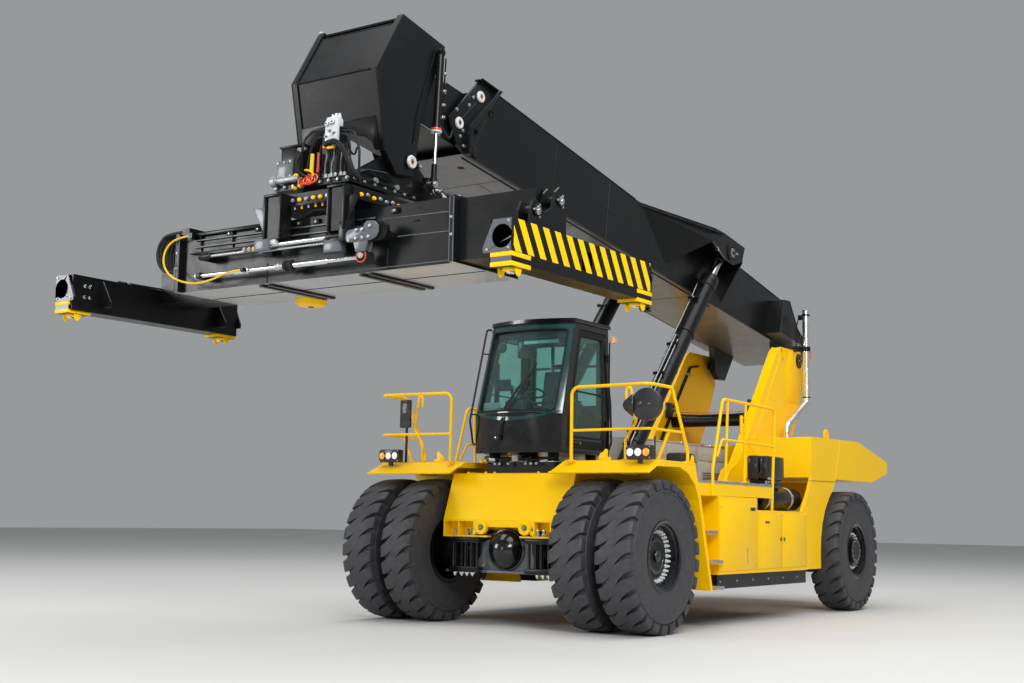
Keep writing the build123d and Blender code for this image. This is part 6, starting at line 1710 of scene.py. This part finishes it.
def side_shift_rods():
    """Cylinders, rods, clamps and the link along the front of the beam."""
    rods = Pile("side_shift_rods")
    # Upper cylinder: bright rod, thick barrel on the right, and a thinner guide rod below it.
    rods.rod(CHROME, at(-0.42, ROD_Y, UPPER_ROD_Z), at(0.42, ROD_Y, UPPER_ROD_Z), 0.028, 28)
    rods.turned(BLACK, ((0.0, 0.0), (0.05, 0.0), (0.054, 0.01), (0.054, 0.05), (0.048, 0.056), (0.048, 0.3),
        (0, 0.3)), at(0.395, ROD_Y, UPPER_ROD_Z), X, 32)
    rods.turned(ZINC, ((0.028, -0.012), (0.04, -0.01), (0.042, 0.0), (0.03, 0.004)), at(0.395, ROD_Y, UPPER_ROD_Z), X,
        28)
    rods.rod(STEEL, at(-0.52, -4.118, 4.024), at(0.52, -4.118, 4.024), 0.012, 18)
    for x in (-0.62, -0.69, -0.76):
        rods.turned(ZINC if x < -0.65 else YELLOW, ((0.0, 0), (0.026, 0), (0.03, 0.008), (0.026, 0.03), (0, 0.034)),
            at(x, -4.12, 4.06), X, 14)
    rods.rod(STEEL, at(-1.33, -4.09, 4.052), at(-0.54, -4.09, 4.052), 0.016, 20)
    rods.turned(BLACK, ((0, 0), (0.034, 0), (0.038, 0.01), (0.038, 0.15), (0.024, 0.16), (0, 0.16)),
        at(-1.44, -4.09, 4.052), X, 28)
    rods.box(BLACK, (-1.44, -0.54), (-4.085, -4.06), (4.08, 4.11), 0.005)
    rods.box(BLACK, (-1.4, -1.34), (-4.1, BEAM_FRONT + 0.01), (4.01, 4.1), 0.005)
    rods.box(PLATE_GREY, (-0.56, -0.5), (-4.115, BEAM_FRONT + 0.01), (4.0, 4.11), 0.006)
    # Lower cylinder: long bright rod with a white collar, black gland, rings at its far end.
    rods.rod(CHROME, at(-1.4, ROD_Y, LOWER_ROD_Z), at(0.83, ROD_Y, LOWER_ROD_Z), 0.022, 28)
    rods.rod(CHROME, at(-0.07, ROD_Y, LOWER_ROD_Z), at(0.4, ROD_Y, LOWER_ROD_Z), 0.03, 28)
    for finish, x, steps, rows in ((CHROME, -0.9, 28, ((0.023, 0), (0.031, 0.004), (0.031, 0.2), (0.023, 0.206))),
            (ZINC, -0.3, 28, ((0.023, 0), (0.038, 0.002), (0.038, 0.04), (0.032, 0.046), (0.032, 0.11),
            (0.023, 0.112))), (SHADE_AND_DARK_PARTS, -0.185, 32, ((0.023, 0), (0.052, 0.003), (0.056, 0.01), (0.056, 0.036),
            (0.044, 0.04), (0.044, 0.08), (0.056, 0.084), (0.056, 0.11), (0.03, 0.116))),
            (ZINC, -0.76, 24, ((0.023, 0), (0.034, 0.004), (0.034, 0.05), (0.023, 0.054))),
            (ZINC, -1.488, 24, ((0.0, 0), (0.03, 0), (0.034, 0.006), (0.034, 0.034), (0, 0.036)))):
        rods.turned(finish, rows, at(x, ROD_Y, LOWER_ROD_Z), X, steps)
    rods.box(BLACK, (-1.45, -1.39), (-4.13, BEAM_FRONT + 0.01), (3.81, 3.88), 0.006)
    rods.box(BLACK, (-0.76, -0.7), (-4.172, -4.08), (3.826, 3.864), 0.006)
    # Trunnion block under the barrel.
    rods.box(PLATE_GREY, (0.375, 0.6), (-4.15, -4.06), (3.92, 4.03), 0.008)
    rods.box(BLACK, (0.36, 0.7), (-4.14, -4.04), (4.02, 4.07), 0.006)
    rods.box(BLACK, (0.59, 0.7), (-4.175, -4.045), (4.01, 4.215), 0.01)
    # Link: a slate plate with six bolts whose end is round, its twin behind, a fork and a ringed pin below.
    link = [(0.7, 4.0), (0.74, 3.985), (1.01, 3.985), (1.075, 4.01), (1.105, 4.06), (1.1, 4.13), (1.05, 4.175),
        (0.96, 4.182), (0.93, 4.16), (0.915, 4.12), (0.72, 4.112), (0.695, 4.075), (0.69, 4.03)]
    rods.prism(PLATE_GREY, link, at(0, -4.16, 0), X, Z, 0.024, 0.006)
    rods.prism(BLACK, [(x + 0.075, z) for x, z in link], at(0, -4.085, 0), X, Z, 0.05, 0.008)
    rods.box(BLACK, (0.74, 1.12), (-4.138, -4.06), (4.0, 4.11), 0.006)
    for x, z in ((0.835, 4.095), (0.915, 4.098), (1.01, 4.125), (0.835, 4.015), (0.915, 4.015), (0.995, 4.018)):
        rods.turned(ZINC, ((0.021, 0), (0.023, 0.006), (0.019, 0.02), (0.01, 0.026), (0, 0.026)), at(x, -4.184, z),
            -Y, 6)
    rods.bolt(at(0.735, -4.184, 4.005), -Y, 0.009)
    rods.box(BLACK, (1.0, 1.1), (-4.05, BEAM_FRONT + 0.01), (4.0, 4.1), 0.006)
    fork = [(0.8, 3.985), (0.98, 3.985), (0.95, 3.88), (0.83, 3.88)]
    rods.prism(PLATE_GREY, fork, at(0, -4.165, 0), X, Z, 0.026, 0.005)
    rods.prism(PLATE_GREY, fork, at(0, -4.09, 0), X, Z, 0.026, 0.005)
    rods.turned(SHADE_AND_DARK_PARTS, ((0.07, -0.115), (0.07, 0), (0.06, 0.008), (0.04, 0.008), (0.036, 0)),
        at(0.885, -4.155, 3.84), -Y, 36)
    rods.turned(ZINC, ((0.036, 0.002), (0.03, 0.014), (0.018, 0.016), (0, 0.016)), at(0.875, -4.158, 3.85), -Y, 24)
    rods.turned(ORANGE, ((0.062, -0.002), (0.064, 0.012), (0.056, 0.014), (0.054, 0)), at(0.885, -4.158, 3.838), -Y, 36)
    rods.build("spreader_beam", ("beam_cylinders",))


def beam_trim():
    """Welds, ribs, feet, slide channels and fittings of the main beam."""
    trim = Pile("beam_trim")
    for start, end in (((0.98, 4.232), (1.84, 4.222)), ((1.18, 4.04), (1.845, 4.03)), ((-1.6, 4.232), (-0.5, 4.232)),
            ((-1.6, 3.745), (1.84, 3.745))):
        weld_bead(trim, PLATE_GREY, [at(start[0], BEAM_FRONT - 0.001, start[1]),
            at(end[0], BEAM_FRONT - 0.001, end[1])], 0.005)
    for x in (-0.56, 1.06):
        weld_bead(trim, SHADE_AND_DARK_PARTS, [at(x, BEAM_FRONT - 0.001, 3.72), at(x, BEAM_FRONT - 0.001, 3.93)], 0.006)
    trim.box(BLACK, (1.33, 1.45), (-3.972, -3.96), (4.168, 4.182), 0.003)
    for side in (-1, 1):
        # The mouth's flange: a light rolled edge on both sides and studs in a row.
        for x in (1.853, 1.897):
            trim.pipe(PLATE_GREY, [at(side * x, -4.024, 3.722), at(side * x, -4.024, 4.352)], 0.006, 0.02, 8)
        for z in (3.98, 4.15):
            trim.bolt(at(side * 1.875, -4.024, z), -Y, 0.008)
        trim.pipe(BLACK, [at(side * 1.895, -4.02, 4.362), at(side * 1.895, -2.91, 4.362)], 0.008, 0.02, 8)
        # Guide pads at the mouth, top and bottom.
        for y in (-3.8, -3.06):
            trim.box(BLACK, flank(side, 1.78, 1.89), (y - 0.09, y + 0.09), (4.358, 4.382), 0.006)
            trim.bolts([at(side * 1.835, y - 0.05, 4.382), at(side * 1.835, y + 0.05, 4.382)], Z, 0.01)
    # Underside: two double channels with a near-black strip of painted shade in the gap of each pair, the long joint,
    # and the yellow grease pot's disc.
    for x in (-0.605, 0.77):
        for shift in (-0.06, 0.06):
            trim.box(BLACK, (x + shift - 0.032, x + shift + 0.032), (-3.94, -2.93), (3.69, 3.722), 0.003)
        trim.box(SHADE_AND_DARK_PARTS, (x - 0.012, x + 0.012), (-3.9, -2.96), (3.71, 3.717), 0.001)
    weld_bead(trim, SHADE_AND_DARK_PARTS, [at(-1.88, -3.46, 3.714), at(1.88, -3.46, 3.714)], 0.005)
    trim.turned(YELLOW, ((0, 3.636), (0.11, 3.636), (0.155, 3.648), (0.176, 3.672), (0.184, 3.72)), at(-0.9, -2.9, 0),
        Z, 48)
    trim.turned(SHADE_AND_DARK_PARTS, ((0, 3.63), (0.03, 3.63), (0.032, 3.64)), at(-0.9, -2.9, 0), Z, 20)
    # Small valves, clips and hoses on the front wall and top of the beam.
    for x, z in ((-1.12, 4.3), (-0.7, 4.31), (-0.12, 4.305), (0.12, 4.3), (1.15, 4.3)):
        trim.box(BLACK, (x - 0.04, x + 0.04), (-3.99, -3.96), (z - 0.025, z + 0.03), 0.005)
        trim.bolt(at(x, -3.99, z), -Y, 0.008)
    # Angle shelves along the front wall, left of the carriage, with slanted ends.
    for low, high, reach in ((4.318, 4.356, -4.01), (4.118, 4.136, -4.006)):
        trim.box(BLACK, (-1.7, -0.56), (reach, BEAM_FRONT + 0.002), (high - 0.012, high), 0.003)
        trim.box(BLACK, (-1.64, -0.62), (reach, reach + 0.01), (low, high), 0.003)
    for x in (-1.56, -1.08, -0.64):
        trim.prism(BLACK, [(-4.004, 4.345), (-3.96, 4.345), (-3.96, 4.15), (-3.975, 4.15)], at(x, 0, 0), Y, Z, 0.014,
            0.002)
    for z in (4.275, 4.2):
        trim.pipe(STEEL, [at(-1.65, -3.982, z), at(0.9, -3.982, z - 0.02)], 0.01, 0.04, 8)
    trim.pipe(HOSE, [at(-0.1, -3.98, 4.365), at(0.1, -4.0, 4.42), at(0.4, -3.99, 4.4), at(0.43, -3.98, 4.365)], 0.014,
        0.06, 8)
    hose_tuft(trim, [at(-0.12 + 0.06 * n, -3.9, 4.362) for n in range(5)],
        [at(0.13 + 0.05 * n, -3.9, 4.366) for n in range(5)], Z * 0.07, 0.011)
    trim.build("spreader_beam")


head_valves()
head_frame_trim()
carriage_trim()
side_shift_rods()
beam_trim()
# Painted reflection: the undersides of the main beam and the outer boom get lighter grey paint standing for the pale
# floor's light reflected up into them.
paint_faces("main_beam", GREY, z=(3.6, 3.73), facing=-Z)
paint_faces("outer_boom", PLATE_GREY, facing=-UPWARD)
